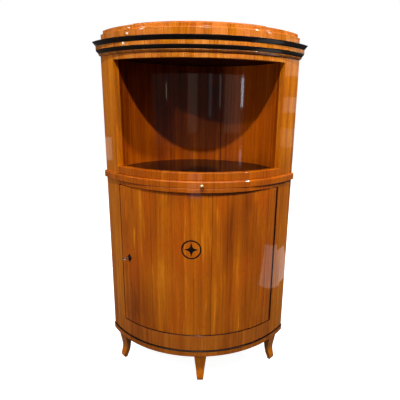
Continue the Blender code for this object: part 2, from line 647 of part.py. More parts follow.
def door(wood, black, brass, steel):
    hinge = axis_empty("door_hinge", Matrix.Translation(front_point(PIVOT_RADIUS, PIVOT_ANGLE)))
    profile = [(DOOR_BACK, DOOR_Z), (FRONT_RADIUS, DOOR_Z), (FRONT_RADIUS, DOOR_TOP),
               (DOOR_BACK, DOOR_TOP)]
    panel = sweep("door_panel", profile, lambda radius: span(-DOOR_LOCK_ANGLE, DOOR_HINGE_ANGLE), wood)
    pieces = [panel]
    pieces += door_bushes(panel, brass)
    pieces += inlay(panel, black)
    pieces += lock(panel, black, steel)
    hang(hinge, *pieces)
    bolt(hinge, steel)
    key(hinge, steel)


def door_bushes(panel, brass):
    # The moving halves of the pin hinges, with a bore that runs on into the door.
    place = front_point(PIVOT_RADIUS, PIVOT_ANGLE)
    bushes = []
    for name, face, direction in (("door_lower_bush", DOOR_Z, -1), ("door_upper_bush", DOOR_TOP, 1)):
        bush = pivot_slot(name, face, direction, 0.0, brass)
        pocket = pivot_slot(name + "_pocket", face, direction, SEAT_GAP, brass)
        outside = face + direction * OVERRUN
        inside = face - direction * (PIVOT_PIN_LENGTH + OVERRUN)
        for target, radius in ((bush, PIVOT_PIN_RADIUS + PIN_CLEARANCE),
                               (panel, PIVOT_PIN_RADIUS + 2 * PIN_CLEARANCE)):
            bore = upright(target.name + name + "_bore", radius, min(inside, outside),
                           max(inside, outside), place, brass)
            combine(target, bore, "DIFFERENCE")
        combine(panel, pocket, "DIFFERENCE")
        bushes.append(bush)
    return bushes


def inlay(panel, black):
    # A ring round a four-pointed star, let in flush with the bowed face.
    angle = math.asin(INLAY_OFFSET / FRONT_RADIUS)
    frame = local_frame(angle) @ Matrix.Translation((0.0, 0.0, DOOR_Z + INLAY_HEIGHT)) \
        @ Matrix.Rotation(math.pi / 2, 4, "X")
    pieces = []
    for name, outlines in (("door_ring", (ring_solid, RING_RADIUS, RING_RADIUS - RING_WIDTH)),
                           ("door_star", (star_solid, STAR_TIP, STAR_VALLEY))):
        make, first, second = outlines
        piece = make(name, first, second, 0.0, frame, black)
        combine(piece, inlay_shell(name + "_shell", 0.0, black), "INTERSECT")
        pocket = make(name + "_pocket", first, second, SEAT_GAP, frame, black)
        combine(pocket, inlay_shell(name + "_pocket_shell", SEAT_GAP, black), "INTERSECT")
        combine(panel, pocket, "DIFFERENCE")
        pieces.append(piece)
    return pieces


def inlay_shell(name, clearance, black):
    # The thin layer of the door that the inlay fills, or with a clearance the layer cut for it.
    reach = RING_RADIUS + OVERRUN
    middle = DOOR_Z + INLAY_HEIGHT
    front = FRONT_RADIUS + (OVERRUN if clearance else 0.0)
    back = FRONT_RADIUS - INLAY_THICKNESS - clearance
    profile = [(back, middle - reach), (front, middle - reach), (front, middle + reach),
               (back, middle + reach)]
    return sweep(name, profile, lambda radius: span(-DOOR_LOCK_ANGLE, DOOR_HINGE_ANGLE), black)


def ring_solid(name, outer, inner, clearance, frame, black):
    mesh = bmesh.new()
    loops = []
    for radius in (outer + clearance, inner - clearance):
        for depth in (FRAME_BACK, FRONT_RADIUS + PIVOT_DEPTH):
            loops.append([mesh.verts.new((radius * math.cos(turn), radius * math.sin(turn), depth))
                          for turn in (2 * math.pi * i / RING_SIDES for i in range(RING_SIDES))])
    for first, second in ((0, 1), (1, 3), (3, 2), (2, 0)):
        for i in range(RING_SIDES):
            j = (i + 1) % RING_SIDES
            mesh.faces.new((loops[first][i], loops[first][j], loops[second][j], loops[second][i]))
    mesh.transform(frame)
    return finish(mesh, name, black)


def star_solid(name, tip, valley, clearance, frame, black):
    # One edge bends inwards from a tip to a valley; the others are its turns and mirror images.
    reach = tip + 3 * clearance
    start = Vector((reach, 0.0))
    end = Vector((valley + clearance, 0.0))
    end.rotate(Matrix.Rotation(math.pi / 4, 2))
    bend = Vector((STAR_BEND + clearance, (STAR_BEND + clearance) / 3))
    edge = []
    for i in range(STAR_EDGE_FACETS + 1):
        t = i / STAR_EDGE_FACETS
        edge.append(start * (1 - t) ** 2 + bend * 2 * t * (1 - t) + end * t ** 2)
    arm = [Vector((point.x, -point.y)) for point in reversed(edge[1:])] + edge[:-1]
    outline = []
    for quarter in range(4):
        turn = Matrix.Rotation(quarter * math.pi / 2, 2)
        outline += [turn @ point for point in arm]
    return prism(name, outline, FRAME_BACK, FRONT_RADIUS + PIVOT_DEPTH, black, frame)


def lock(panel, black, steel):
    # The case is a tray let into the back of the door, open towards the wood.
    across = (LOCK_LEFT, LOCK_LEFT + LOCK_LENGTH)
    outward = (LOCK_BACK, LOCK_FRONT)
    upward = (KEY_Z - LOCK_BELOW_KEY, KEY_Z + LOCK_ABOVE_KEY)
    case = box("lock_case", across, outward, upward, steel, LOCK_ANGLE)
    pocket = box("lock_pocket", (across[0] - LOCK_LENGTH, across[1] + SEAT_GAP),
                 (outward[0] - OVERRUN, outward[1] + SEAT_GAP),
                 (upward[0] - SEAT_GAP, upward[1] + SEAT_GAP), steel, LOCK_ANGLE)
    combine(panel, pocket, "DIFFERENCE")
    hollow = box("lock_hollow", (across[0] + LOCK_WALL, across[1] - LOCK_WALL),
                 (outward[0] + LOCK_WALL, outward[1] + OVERRUN),
                 (upward[0] + LOCK_WALL, upward[1] - LOCK_WALL), steel, LOCK_ANGLE)
    combine(case, hollow, "DIFFERENCE")
    slot = box("lock_slot", (across[0] - OVERRUN, across[0] + LOCK_WALL + OVERRUN),
               (BOLT_BACK - SEAT_GAP, BOLT_BACK + BOLT_THICKNESS + SEAT_GAP),
               (BOLT_Z - SEAT_GAP, BOLT_Z + BOLT_HEIGHT + SEAT_GAP), steel, LOCK_ANGLE)
    combine(case, slot, "DIFFERENCE")
    stud_frame = local_frame(LOCK_ANGLE) @ Matrix.Translation((stud_across(), 0.0, stud_height()))
    stud = turned("lock_stud", [(0.0, LOCK_BACK + LOCK_WALL / 2), (STUD_RADIUS, LOCK_BACK + LOCK_WALL / 2),
                                (STUD_RADIUS, LOCK_FRONT - LOCK_WALL), (0.0, LOCK_FRONT - LOCK_WALL)],
                  stud_frame, steel)
    combine(case, stud, "UNION")
    keyhole(panel, "door_keyhole", LOCK_FRONT - LOCK_WALL)
    return [case, escutcheon(panel, black)]


def key_across():
    # Where the key's axis lies in the lock's frame.
    return FRONT_RADIUS * math.sin(KEY_ANGLE - LOCK_ANGLE)


def stud_across():
    return LOCK_LEFT + BOLT_LENGTH - STUD_FROM_END - STUD_RADIUS


def stud_height():
    return BOLT_Z + BOLT_HEIGHT / 2


def keyhole(target, name, start):
    frame = local_frame(LOCK_ANGLE) @ Matrix.Translation((key_across(), 0.0, KEY_Z))
    end = FRONT_RADIUS + 2 * OVERRUN
    radius = KEY_SHANK_RADIUS + PIN_CLEARANCE
    hole = turned(name, [(0.0, start), (radius, start), (radius, end), (0.0, end)], frame,
                  target.data.materials[0])
    slot = box(name + "_slot", (key_across() - KEYHOLE_SLOT / 2, key_across() + KEYHOLE_SLOT / 2),
               (start, end), (KEY_Z - KEY_BIT_REACH - PIN_CLEARANCE, KEY_Z),
               target.data.materials[0], LOCK_ANGLE)
    combine(hole, slot, "UNION")
    combine(target, hole, "DIFFERENCE")


def escutcheon(panel, black):
    # A kite, widest beside the keyhole and pointed below, let into the face of the door.
    front = FRONT_RADIUS + ESCUTCHEON_PROUD
    back = front - ESCUTCHEON_THICKNESS
    plate_piece = kite("escutcheon", 0.0, back, front, black)
    pocket = kite("escutcheon_pocket", SEAT_GAP, back - SEAT_GAP, front + OVERRUN, black)
    combine(panel, pocket, "DIFFERENCE")
    keyhole(plate_piece, "escutcheon_keyhole", back - OVERRUN)
    return plate_piece


def kite(name, clearance, back, front, black):
    half = ESCUTCHEON_WIDTH / 2 + clearance * ROOT_TWO
    outline = [(0.0, ESCUTCHEON_ABOVE_KEY + clearance * ROOT_TWO), (-half, 0.0),
               (0.0, -ESCUTCHEON_BELOW_KEY - 2 * clearance), (half, 0.0)]
    frame = local_frame(KEY_ANGLE) @ Matrix.Translation((0.0, 0.0, KEY_Z)) \
        @ Matrix.Rotation(math.pi / 2, 4, "X")
    return prism(name, outline, back, front, black, frame)


def bolt(hinge, steel):
    # Slides past the stud, and its notch is where the key's bit pushes it.
    axis = axis_empty("bolt_axis", local_frame(LOCK_ANGLE), hinge)
    across = (LOCK_LEFT + SEAT_GAP, LOCK_LEFT + BOLT_LENGTH)
    outward = (BOLT_BACK, BOLT_BACK + BOLT_THICKNESS)
    piece = box("lock_bolt", across, outward, (BOLT_Z, BOLT_Z + BOLT_HEIGHT), steel, LOCK_ANGLE)
    beyond = (outward[0] - OVERRUN, outward[1] + OVERRUN)
    start = key_across() - TALON_BEFORE_KEY
    talon = box("bolt_talon", (start, start + TALON_WIDTH), beyond,
                (BOLT_Z - OVERRUN, BOLT_Z + TALON_RISE), steel, LOCK_ANGLE)
    combine(piece, talon, "DIFFERENCE")
    reach = STUD_RADIUS + PIN_CLEARANCE
    slot = box("bolt_slot", (stud_across() - reach, stud_across() + BOLT_THROW + reach), beyond,
               (stud_height() - BOLT_SLOT_HEIGHT / 2, stud_height() + BOLT_SLOT_HEIGHT / 2), steel,
               LOCK_ANGLE)
    combine(piece, slot, "DIFFERENCE")
    hang(axis, piece)


def key(hinge, steel):
    # Turned a quarter from the way it goes in, with its bit towards the hinges.
    frame = local_frame(LOCK_ANGLE) @ Matrix.Translation((key_across(), 0.0, KEY_Z))
    axis = axis_empty("key_axis", frame, hinge)
    tip = LOCK_BACK + LOCK_WALL + SEAT_GAP
    end = FRONT_RADIUS + KEY_SHANK_REACH
    collar = end - 2 * KEY_COLLAR_LENGTH
    profile = [(0.0, tip), (KEY_SHANK_RADIUS, tip), (KEY_SHANK_RADIUS, collar),
               (KEY_COLLAR_RADIUS, collar + KEY_COLLAR_LENGTH / 4),
               (KEY_COLLAR_RADIUS, collar + KEY_COLLAR_LENGTH * 3 / 4),
               (KEY_SHANK_RADIUS, collar + KEY_COLLAR_LENGTH), (KEY_SHANK_RADIUS, end), (0.0, end)]
    piece = turned("key", profile, frame, steel)
    middle = BOLT_BACK + BOLT_THICKNESS / 2
    bit = box("key_bit", (key_across(), key_across() + KEY_BIT_REACH),
              (middle - KEY_BIT_LENGTH / 2, middle + KEY_BIT_LENGTH / 2),
              (KEY_Z - KEY_BIT_THICKNESS / 2, KEY_Z + KEY_BIT_THICKNESS / 2), steel, LOCK_ANGLE)
    combine(piece, bit, "UNION")
    combine(piece, bow(frame, end, steel), "UNION")
    hang(axis, piece)


def bow(frame, shank_end, steel):
    # An oval of round wire that the end of the shank runs into.
    mesh = bmesh.new()
    middle = shank_end - BOW_WIRE / 2 + BOW_LENGTH / 2
    rings = []
    for i in range(BOW_FACETS):
        turn = 2 * math.pi * i / BOW_FACETS
        centre = Vector((math.sin(turn) * (BOW_WIDTH / 2 - BOW_WIRE),
                         -middle - math.cos(turn) * (BOW_LENGTH / 2 - BOW_WIRE), 0.0))
        out = Vector((math.sin(turn), -math.cos(turn), 0.0))
        rings.append([mesh.verts.new(centre + out * BOW_WIRE * math.cos(side)
                                     + Vector((0.0, 0.0, BOW_WIRE * math.sin(side))))
                      for side in (2 * math.pi * k / BOW_SIDES for k in range(BOW_SIDES))])
    for near, far in zip(rings, rings[1:] + rings[:1]):
        for k in range(BOW_SIDES):
            m = (k + 1) % BOW_SIDES
            mesh.faces.new((near[k], near[m], far[m], far[k]))
    mesh.transform(frame)
    return finish(mesh, "key_bow", steel)


def strike(stile, brass):
    # Let into the edge of the left stile, with the mortise that takes the bolt behind it.
    middle = BOLT_BACK + BOLT_THICKNESS / 2
    edge = -STILE_ANGLE
    upward = (BOLT_Z + BOLT_HEIGHT / 2 - STRIKE_LENGTH / 2, BOLT_Z + BOLT_HEIGHT / 2 + STRIKE_LENGTH / 2)
    outward = (middle - STRIKE_WIDTH / 2, middle + STRIKE_WIDTH / 2)
    piece = box("strike_plate", (-STRIKE_THICKNESS, 0.0), outward, upward, brass, edge)
    recess = box("strike_recess", (-STRIKE_THICKNESS - SEAT_GAP, OVERRUN),
                 (outward[0] - SEAT_GAP, outward[1] + SEAT_GAP),
                 (upward[0] - SEAT_GAP, upward[1] + SEAT_GAP), brass, edge)
    combine(stile, recess, "DIFFERENCE")
    clearance = 2 * PIN_CLEARANCE
    mortise = box("bolt_mortise", (LOCK_LEFT - LOCK_SIDE_GAP - MORTISE_DEPTH, LOCK_LEFT + OVERRUN),
                  (BOLT_BACK - clearance, BOLT_BACK + BOLT_THICKNESS + clearance),
                  (BOLT_Z - clearance, BOLT_Z + BOLT_HEIGHT + clearance), brass, LOCK_ANGLE)
    combine(stile, mortise, "DIFFERENCE")
    combine(piece, mortise, "DIFFERENCE")


def door_stop(wood):
    # A block under the rail and the dust board that the closed door's top comes to rest against.
    top = LOWER_RAIL_Z - SEAT_GAP
    front = DOOR_BACK - STOP_GAP
    box("door_stop", (-STOP_WIDTH / 2, STOP_WIDTH / 2), (front - STOP_DEPTH, front),
        (top - STOP_HEIGHT, top), wood, -STOP_ANGLE)


def slide(wood, brass):
    axis = axis_empty("slide_axis", Matrix.Translation((0.0, APEX_Y, SLIDE_Z)))
    back = FRONT_RADIUS - SLIDE_FRONT_INSET
    profile = rail_profile(back, FRONT_RADIUS + WAIST_OVERHANG, SLIDE_Z, SLIDE_TOP, EDGE_RADIUS,
                           NOSING_RADIUS)
    front = sweep("slide_front", profile, lambda radius: span(-SLIDE_ANGLE, SLIDE_ANGLE), wood)
    bottom = LOWER_RAIL_TOP + SLIDE_BEARING_GAP
    top = bottom + SLIDE_BOARD_THICKNESS
    board = prism("slide_board", slide_outline(back - SEAT_GAP), bottom, top, wood)
    cleat = prism("slide_cleat", rectangle(CLEAT_WIDTH, SLIDE_REAR_Y - CLEAT_DEPTH, SLIDE_REAR_Y),
                  top + SEAT_GAP, top + CLEAT_HEIGHT, wood)
    hang(axis, front, board, cleat, knob(front, brass))


def slide_outline(radius):
    # Its sides run straight out between the stiles; behind, it narrows along the walls.
    half = slide_half_width()
    limit = math.asin(half / radius)
    wall = CORNER_Y - (WALL_THICKNESS + SLIDE_WALL_GAP) * ROOT_TWO
    outline = [front_point(radius, angle) for angle in span(-limit, limit)]
    outline += [Vector((half, wall - half, 0.0)), Vector((wall - SLIDE_REAR_Y, SLIDE_REAR_Y, 0.0)),
                Vector((SLIDE_REAR_Y - wall, SLIDE_REAR_Y, 0.0)), Vector((-half, wall - half, 0.0))]
    return outline


def slide_half_width():
    return FRAME_BACK * math.sin(STILE_ANGLE) - SLIDE_SIDE_GAP


def rectangle(width, front, rear):
    return [(-width / 2, front), (width / 2, front), (width / 2, rear), (-width / 2, rear)]


def knob(front, brass):
    frame = local_frame(KNOB_ANGLE) @ Matrix.Translation((0.0, 0.0, SLIDE_Z + KNOB_HEIGHT))
    face = FRONT_RADIUS + WAIST_OVERHANG
    foot_face = face + SEAT_GAP
    neck = foot_face + KNOB_ROSE_THICKNESS
    ball = neck + KNOB_NECK_LENGTH + KNOB_RADIUS
    stud_end = face - KNOB_STUD_LENGTH
    profile = [(0.0, stud_end), (KNOB_STUD_RADIUS, stud_end), (KNOB_STUD_RADIUS, foot_face),
               (KNOB_ROSE_RADIUS, foot_face), (KNOB_ROSE_RADIUS, neck), (KNOB_NECK_RADIUS, neck)]
    for i in range(1, TURNED_SIDES // 2):
        turn = math.pi * i / (TURNED_SIDES // 2)
        profile.append((KNOB_RADIUS * math.sin(turn), ball - KNOB_RADIUS * math.cos(turn)))
    profile.append((0.0, ball + KNOB_RADIUS))
    piece = turned("slide_knob", profile, frame, brass)
    radius = KNOB_STUD_RADIUS + PIN_CLEARANCE
    start = stud_end - SEAT_GAP
    bore = turned("knob_bore", [(0.0, start), (radius, start), (radius, face + OVERRUN),
                                (0.0, face + OVERRUN)], frame, brass)
    combine(front, bore, "DIFFERENCE")
    return piece


def slide_bearings(wood):
    # Guides beside the slide, kickers and a stop above it, all fixed to the boards.
    top = LOWER_RAIL_TOP + SLIDE_BEARING_GAP + SLIDE_BOARD_THICKNESS
    ceiling = NICHE_FLOOR_TOP - NICHE_FLOOR_THICKNESS - SEAT_GAP
    inner = slide_half_width() + SLIDE_SIDE_GAP / 2
    outer = inner + GUIDE_WIDTH
    guide_front = CENTRE_Y - math.sqrt((FRAME_BACK - 2 * SEAT_GAP) ** 2 - outer ** 2)
    guide = [(inner, guide_front), (outer, guide_front), (outer, guide_front + GUIDE_LENGTH),
             (inner, guide_front + GUIDE_LENGTH)]
    kicker_outer = slide_half_width() - GUIDE_WIDTH
    kicker = [(kicker_outer - KICKER_WIDTH, guide_front), (kicker_outer, guide_front),
              (kicker_outer, guide_front + KICKER_LENGTH),
              (kicker_outer - KICKER_WIDTH, guide_front + KICKER_LENGTH)]
    for side, place in (("right", list), ("left", mirrored)):
        prism(side + "_slide_guide", place(guide), LOWER_RAIL_TOP + SEAT_GAP, top, wood)
        prism(side + "_slide_kicker", place(kicker), top + SLIDE_GAP, ceiling, wood)
    rear = SLIDE_REAR_Y - CLEAT_DEPTH - SLIDE_TRAVEL - SLIDE_GAP
    prism("slide_stop", rectangle(STOP_BLOCK_WIDTH, rear - STOP_BLOCK_DEPTH, rear), top + SLIDE_GAP,
          ceiling, wood)


def build():
    for item in list(bpy.data.objects):
        bpy.data.objects.remove(item, do_unlink=True)
    wood = material("cherry_veneer", (0.48, 0.19, 0.045), 0.22)
    inner_wood = material("inner_wood", (0.36, 0.19, 0.08), 0.6)
    black = material("ebonised_wood", (0.012, 0.010, 0.009), 0.25)
    brass = material("brass", (0.78, 0.60, 0.30), 0.28, 1.0)
    steel = material("steel", (0.42, 0.40, 0.38), 0.38, 1.0)
    base(wood, black)
    left_stile, bottom_rail, lower_rail = stiles_and_rails(wood)
    cornice(wood, black)
    walls(inner_wood)
    boards(inner_wood, black)
    pivot_plates(bottom_rail, lower_rail, brass)
    strike(left_stile, brass)
    door_stop(inner_wood)
    slide_bearings(inner_wood)
    slide(wood, brass)
    door(wood, black, brass, steel)


build()
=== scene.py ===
import json
import math

import bmesh
import bpy
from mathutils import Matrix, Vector


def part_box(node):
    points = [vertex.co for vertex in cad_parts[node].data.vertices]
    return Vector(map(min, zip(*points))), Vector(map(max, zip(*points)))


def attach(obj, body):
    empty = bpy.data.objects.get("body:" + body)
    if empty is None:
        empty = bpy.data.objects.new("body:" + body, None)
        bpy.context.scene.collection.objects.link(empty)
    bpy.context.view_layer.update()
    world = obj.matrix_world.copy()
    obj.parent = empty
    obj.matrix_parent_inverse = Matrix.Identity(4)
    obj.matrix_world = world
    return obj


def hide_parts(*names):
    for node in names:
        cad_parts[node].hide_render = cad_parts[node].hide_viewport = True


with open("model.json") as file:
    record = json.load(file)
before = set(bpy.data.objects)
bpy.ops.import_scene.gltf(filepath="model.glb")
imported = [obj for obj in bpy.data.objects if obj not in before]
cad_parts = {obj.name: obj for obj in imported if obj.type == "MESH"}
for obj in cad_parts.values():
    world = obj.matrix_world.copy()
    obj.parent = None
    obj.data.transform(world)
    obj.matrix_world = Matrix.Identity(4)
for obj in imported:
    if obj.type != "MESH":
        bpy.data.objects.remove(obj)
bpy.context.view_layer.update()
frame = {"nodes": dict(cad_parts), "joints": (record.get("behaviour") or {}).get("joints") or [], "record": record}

# The plan that every bowed piece shares: one front circle, cut off by two wall planes.
plan = {
    "frontRadius": 0.573,
    "frameBack": 0.545,
    "openingEdge": math.radians(43.0),  # where the stiles begin, either side of the middle
    "pastWalls": math.radians(62.0),  # spins go this far and are then cut at the walls
    "stepAngle": math.radians(1.1),
    "jointGap": math.radians(0.03),  # between a rail's end and the stile
}
# How much larger a pocket is than the piece that lies in it, all round
gaps = {"plate": 0.0003, "boltMortise": 0.0006, "boltWay": 0.0004, "inlay": 0.0002}
mergeWithin = 0.000005
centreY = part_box("door_panel")[0].y + plan["frontRadius"]
wallMount = next(m for m in frame["record"]["mounts"] if m["name"] == "right_wall_face")
wallSum = wallMount["pos_m"][0] + wallMount["pos_m"][1]


# Modelling by hand, in code

def clearSelection():
    if bpy.context.object and bpy.context.object.mode != "OBJECT":
        bpy.ops.object.mode_set(mode="OBJECT")
    bpy.ops.object.select_all(action="DESELECT")


def useOnly(piece):
    clearSelection()
    piece.select_set(True)
    bpy.context.view_layer.objects.active = piece


def placeStart(name, scale=(1, 1, 1), location=(0, 0, 0), rotation=(0, 0, 0)):
    piece = bpy.context.object
    piece.name = name
    piece.scale, piece.location, piece.rotation_euler = scale, location, rotation
    bpy.ops.object.transform_apply(location=True, rotation=True, scale=True)
    return piece


def pickVerts(piece, test):
    bpy.ops.mesh.select_mode(type="VERT")
    bpy.ops.mesh.select_all(action="DESELECT")
    mesh = bmesh.from_edit_mesh(piece.data)
    for vert in mesh.verts:
        vert.select = bool(test(vert.co))
    mesh.select_flush_mode()
    bmesh.update_edit_mesh(piece.data)


def pickEdges(piece, test):
    bpy.ops.mesh.select_mode(type="EDGE")
    bpy.ops.mesh.select_all(action="DESELECT")
    mesh = bmesh.from_edit_mesh(piece.data)
    for edge in mesh.edges:
        edge.select = bool(test(edge.verts[0].co, edge.verts[1].co))
    mesh.select_flush_mode()
    bmesh.update_edit_mesh(piece.data)


def pickFaces(piece, test):
    bpy.ops.mesh.select_mode(type="FACE")
    bpy.ops.mesh.select_all(action="DESELECT")
    mesh = bmesh.from_edit_mesh(piece.data)
    mesh.normal_update()
    for face in mesh.faces:
        face.select = bool(test(face.normal, face.calc_center_median()))
    mesh.select_flush_mode()
    bmesh.update_edit_mesh(piece.data)


def tidyMesh(piece):
    useOnly(piece)
    bpy.ops.object.mode_set(mode="EDIT")
    bpy.ops.mesh.select_all(action="SELECT")
    bpy.ops.mesh.remove_doubles(threshold=mergeWithin)
    bpy.ops.mesh.normals_make_consistent(inside=False)
    bpy.ops.object.mode_set(mode="OBJECT")


def applyModifier(piece, kind, **settings):
    useOnly(piece)
    bpy.ops.object.modifier_add(type=kind)
    modifier = piece.modifiers[-1]
    for name, value in settings.items():
        setattr(modifier, name, value)
    bpy.ops.object.modifier_apply(modifier=modifier.name)


def smooth(piece, angle=30.0):
    useOnly(piece)
    bpy.ops.object.shade_smooth_by_angle(angle=math.radians(angle))
    applyModifier(piece, "WEIGHTED_NORMAL", keep_sharp=True)


def boolean(piece, tool, operation="DIFFERENCE"):
    applyModifier(piece, "BOOLEAN", operation=operation, object=tool, solver="EXACT")
    bpy.data.objects.remove(tool)


def duplicate(piece, name):
    useOnly(piece)
    bpy.ops.object.duplicate()
    copy = bpy.context.object
    copy.name = name
    return copy


def dress(piece, body, slotName, finish, *nodes):
    piece.data.materials.clear()
    for each in finish if isinstance(finish, tuple) else (finish,):
        piece.data.materials.append(each)
    piece.data.name = piece.name
    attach(piece, body)
    if nodes:
        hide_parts(*nodes)
    return piece


def onBow(angle, radius, height=0.0):
    return Vector((radius * math.sin(angle), centreY - radius * math.cos(angle), height))


def bowRadius(point, middleY):
    return math.hypot(point.x, middleY - point.y)


def bowed(name, section, start, end, middleY=centreY):
    # A standing rectangle with its front corners rounded, spun round the bow's axis.
    back, front, bottom, top = section["back"], section["front"], section["bottom"], section["top"]
    middle = (back + front) / 2
    clearSelection()
    bpy.ops.mesh.primitive_plane_add(size=1)
    piece = placeStart(name, (front - back, top - bottom, 1),
                       (middle * math.sin(start), middleY - middle * math.cos(start), (bottom + top) / 2),
                       (math.pi / 2, 0, start - math.pi / 2))
    bpy.ops.object.mode_set(mode="EDIT")
    for radius, height in ((section.get("lower", 0), bottom), (section.get("upper", 0), top)):
        if radius:
            pickVerts(piece, lambda co: abs(co.z - height) < 1e-5 and bowRadius(co, middleY) > middle)
            bpy.ops.mesh.bevel(offset=radius, offset_type="OFFSET", affect="VERTICES",
                               segments=section.get("segments", 6), clamp_overlap=False,
                               profile=section.get("profile", 0.5) if height == bottom else 0.5)
    bpy.ops.mesh.select_all(action="SELECT")
    steps = math.ceil((end - start) / plan["stepAngle"])
    bpy.ops.mesh.spin(steps=steps, angle=start - end, center=(0, middleY, 0), axis=(0, 0, 1))
    bpy.ops.object.mode_set(mode="OBJECT")
    tidyMesh(piece)
    return piece


def cutAtWalls(piece, left=True, right=True):
    useOnly(piece)
    bpy.ops.object.mode_set(mode="EDIT")
    for wanted, side in ((right, 1), (left, -1)):
        if wanted:
            bpy.ops.mesh.select_all(action="SELECT")
            bpy.ops.mesh.bisect(plane_co=(side * wallSum, 0, 0), plane_no=(side, 1, 0),
                                use_fill=True, clear_outer=True)
    bpy.ops.object.mode_set(mode="OBJECT")
    tidyMesh(piece)
    return piece


def nodeSection(node, **more):
    low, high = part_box(node)
    section = {"front": centreY - low.y, "back": plan["frameBack"], "bottom": low.z, "top": high.z}
    section.update(more)
    return section


def topFacesTo(piece, slotNumber):
    useOnly(piece)
    bpy.ops.object.mode_set(mode="EDIT")
    pickFaces(piece, lambda normal, co: abs(normal.z) > 0.8)
    piece.active_material_index = slotNumber
    bpy.ops.object.material_slot_assign()
    bpy.ops.object.mode_set(mode="OBJECT")


def turned(name, profile, sides=48):
    # Rings of (distance along Z, radius), drawn out one after another.
    clearSelection()
    bpy.ops.mesh.primitive_circle_add(vertices=sides, radius=1, fill_type="NGON")
    distance, radius = profile[0]
    piece = placeStart(name, (radius, radius, 1), (0, 0, distance))
    bpy.ops.object.mode_set(mode="EDIT")
    for nextDistance, nextRadius in profile[1:]:
        bpy.ops.mesh.extrude_region_move(
            TRANSFORM_OT_translate={"value": (0, 0, nextDistance - distance)})
        ratio = nextRadius / radius
        bpy.ops.transform.resize(value=(ratio, ratio, 1), center_override=(0, 0, 0))
        distance, radius = nextDistance, nextRadius
    bpy.ops.object.mode_set(mode="OBJECT")
    tidyMesh(piece)
    return piece


def faceOut(piece, angle, radius, height):
    # What was modelled along Z now points straight out of the bow.
    useOnly(piece)
    piece.rotation_euler = (math.pi / 2, 0, angle)
    piece.location = onBow(angle, radius, height)
    bpy.ops.object.transform_apply(location=True, rotation=True, scale=True)
    return piece


def grownCopy(node, name, growth, keep=None):
    # A closed block round a CAD piece, for cutting the pocket that the piece lies in.
    copy = duplicate(frame["nodes"][node], name)
    copy.parent = None
    bpy.ops.object.mode_set(mode="EDIT")
    bpy.ops.mesh.select_all(action="SELECT")
    bpy.ops.mesh.remove_doubles(threshold=mergeWithin)
    if keep:
        pickVerts(copy, lambda co: not keep(co))
        bpy.ops.mesh.delete(type="VERT")
        bpy.ops.mesh.select_all(action="SELECT")
    bpy.ops.mesh.convex_hull()
    bpy.ops.mesh.select_all(action="SELECT")
    bpy.ops.mesh.dissolve_limited(angle_limit=math.radians(1))
    bpy.ops.mesh.select_all(action="SELECT")
    bpy.ops.mesh.normals_make_consistent(inside=False)
    bpy.ops.transform.shrink_fatten(value=growth, use_even_offset=True)
    bpy.ops.object.mode_set(mode="OBJECT")
    return copy


def slideCopy(piece, shift):
    useOnly(piece)
    piece.location = shift
    bpy.ops.object.transform_apply(location=True, rotation=True, scale=True)
    return piece


# Shader nodes, written as expressions

class Value:
    def __init__(self, finish, socket):
        self.finish, self.socket = finish, socket

    def __add__(self, other):
        return self.finish.maths("ADD", self, other)

    def __sub__(self, other):
        return self.finish.maths("SUBTRACT", self, other)

    def __rsub__(self, other):
        return self.finish.maths("SUBTRACT", other, self)

    def __mul__(self, other):
        return self.finish.maths("MULTIPLY", self, other)

    def __truediv__(self, other):
        return self.finish.maths("DIVIDE", self, other)

    __radd__ = __add__
    __rmul__ = __mul__

    def floor(self):
        return self.finish.maths("FLOOR", self)

    def part(self):
        return self.finish.maths("FRACT", self)

    def size(self):
        return self.finish.maths("ABSOLUTE", self)

    def root(self):
        return self.finish.maths("SQRT", self)

    def atLeast(self, other):
        return self.finish.maths("MAXIMUM", self, other)

    def atMost(self, other):
        return self.finish.maths("MINIMUM", self, other)

    def rise(self, low, high):
        # 0 below low, 1 above high, a soft step between.
        return self.finish.node("ShaderNodeMapRange", {"interpolation_type": "SMOOTHSTEP"},
                                {"Value": self, "From Min": low, "From Max": high})


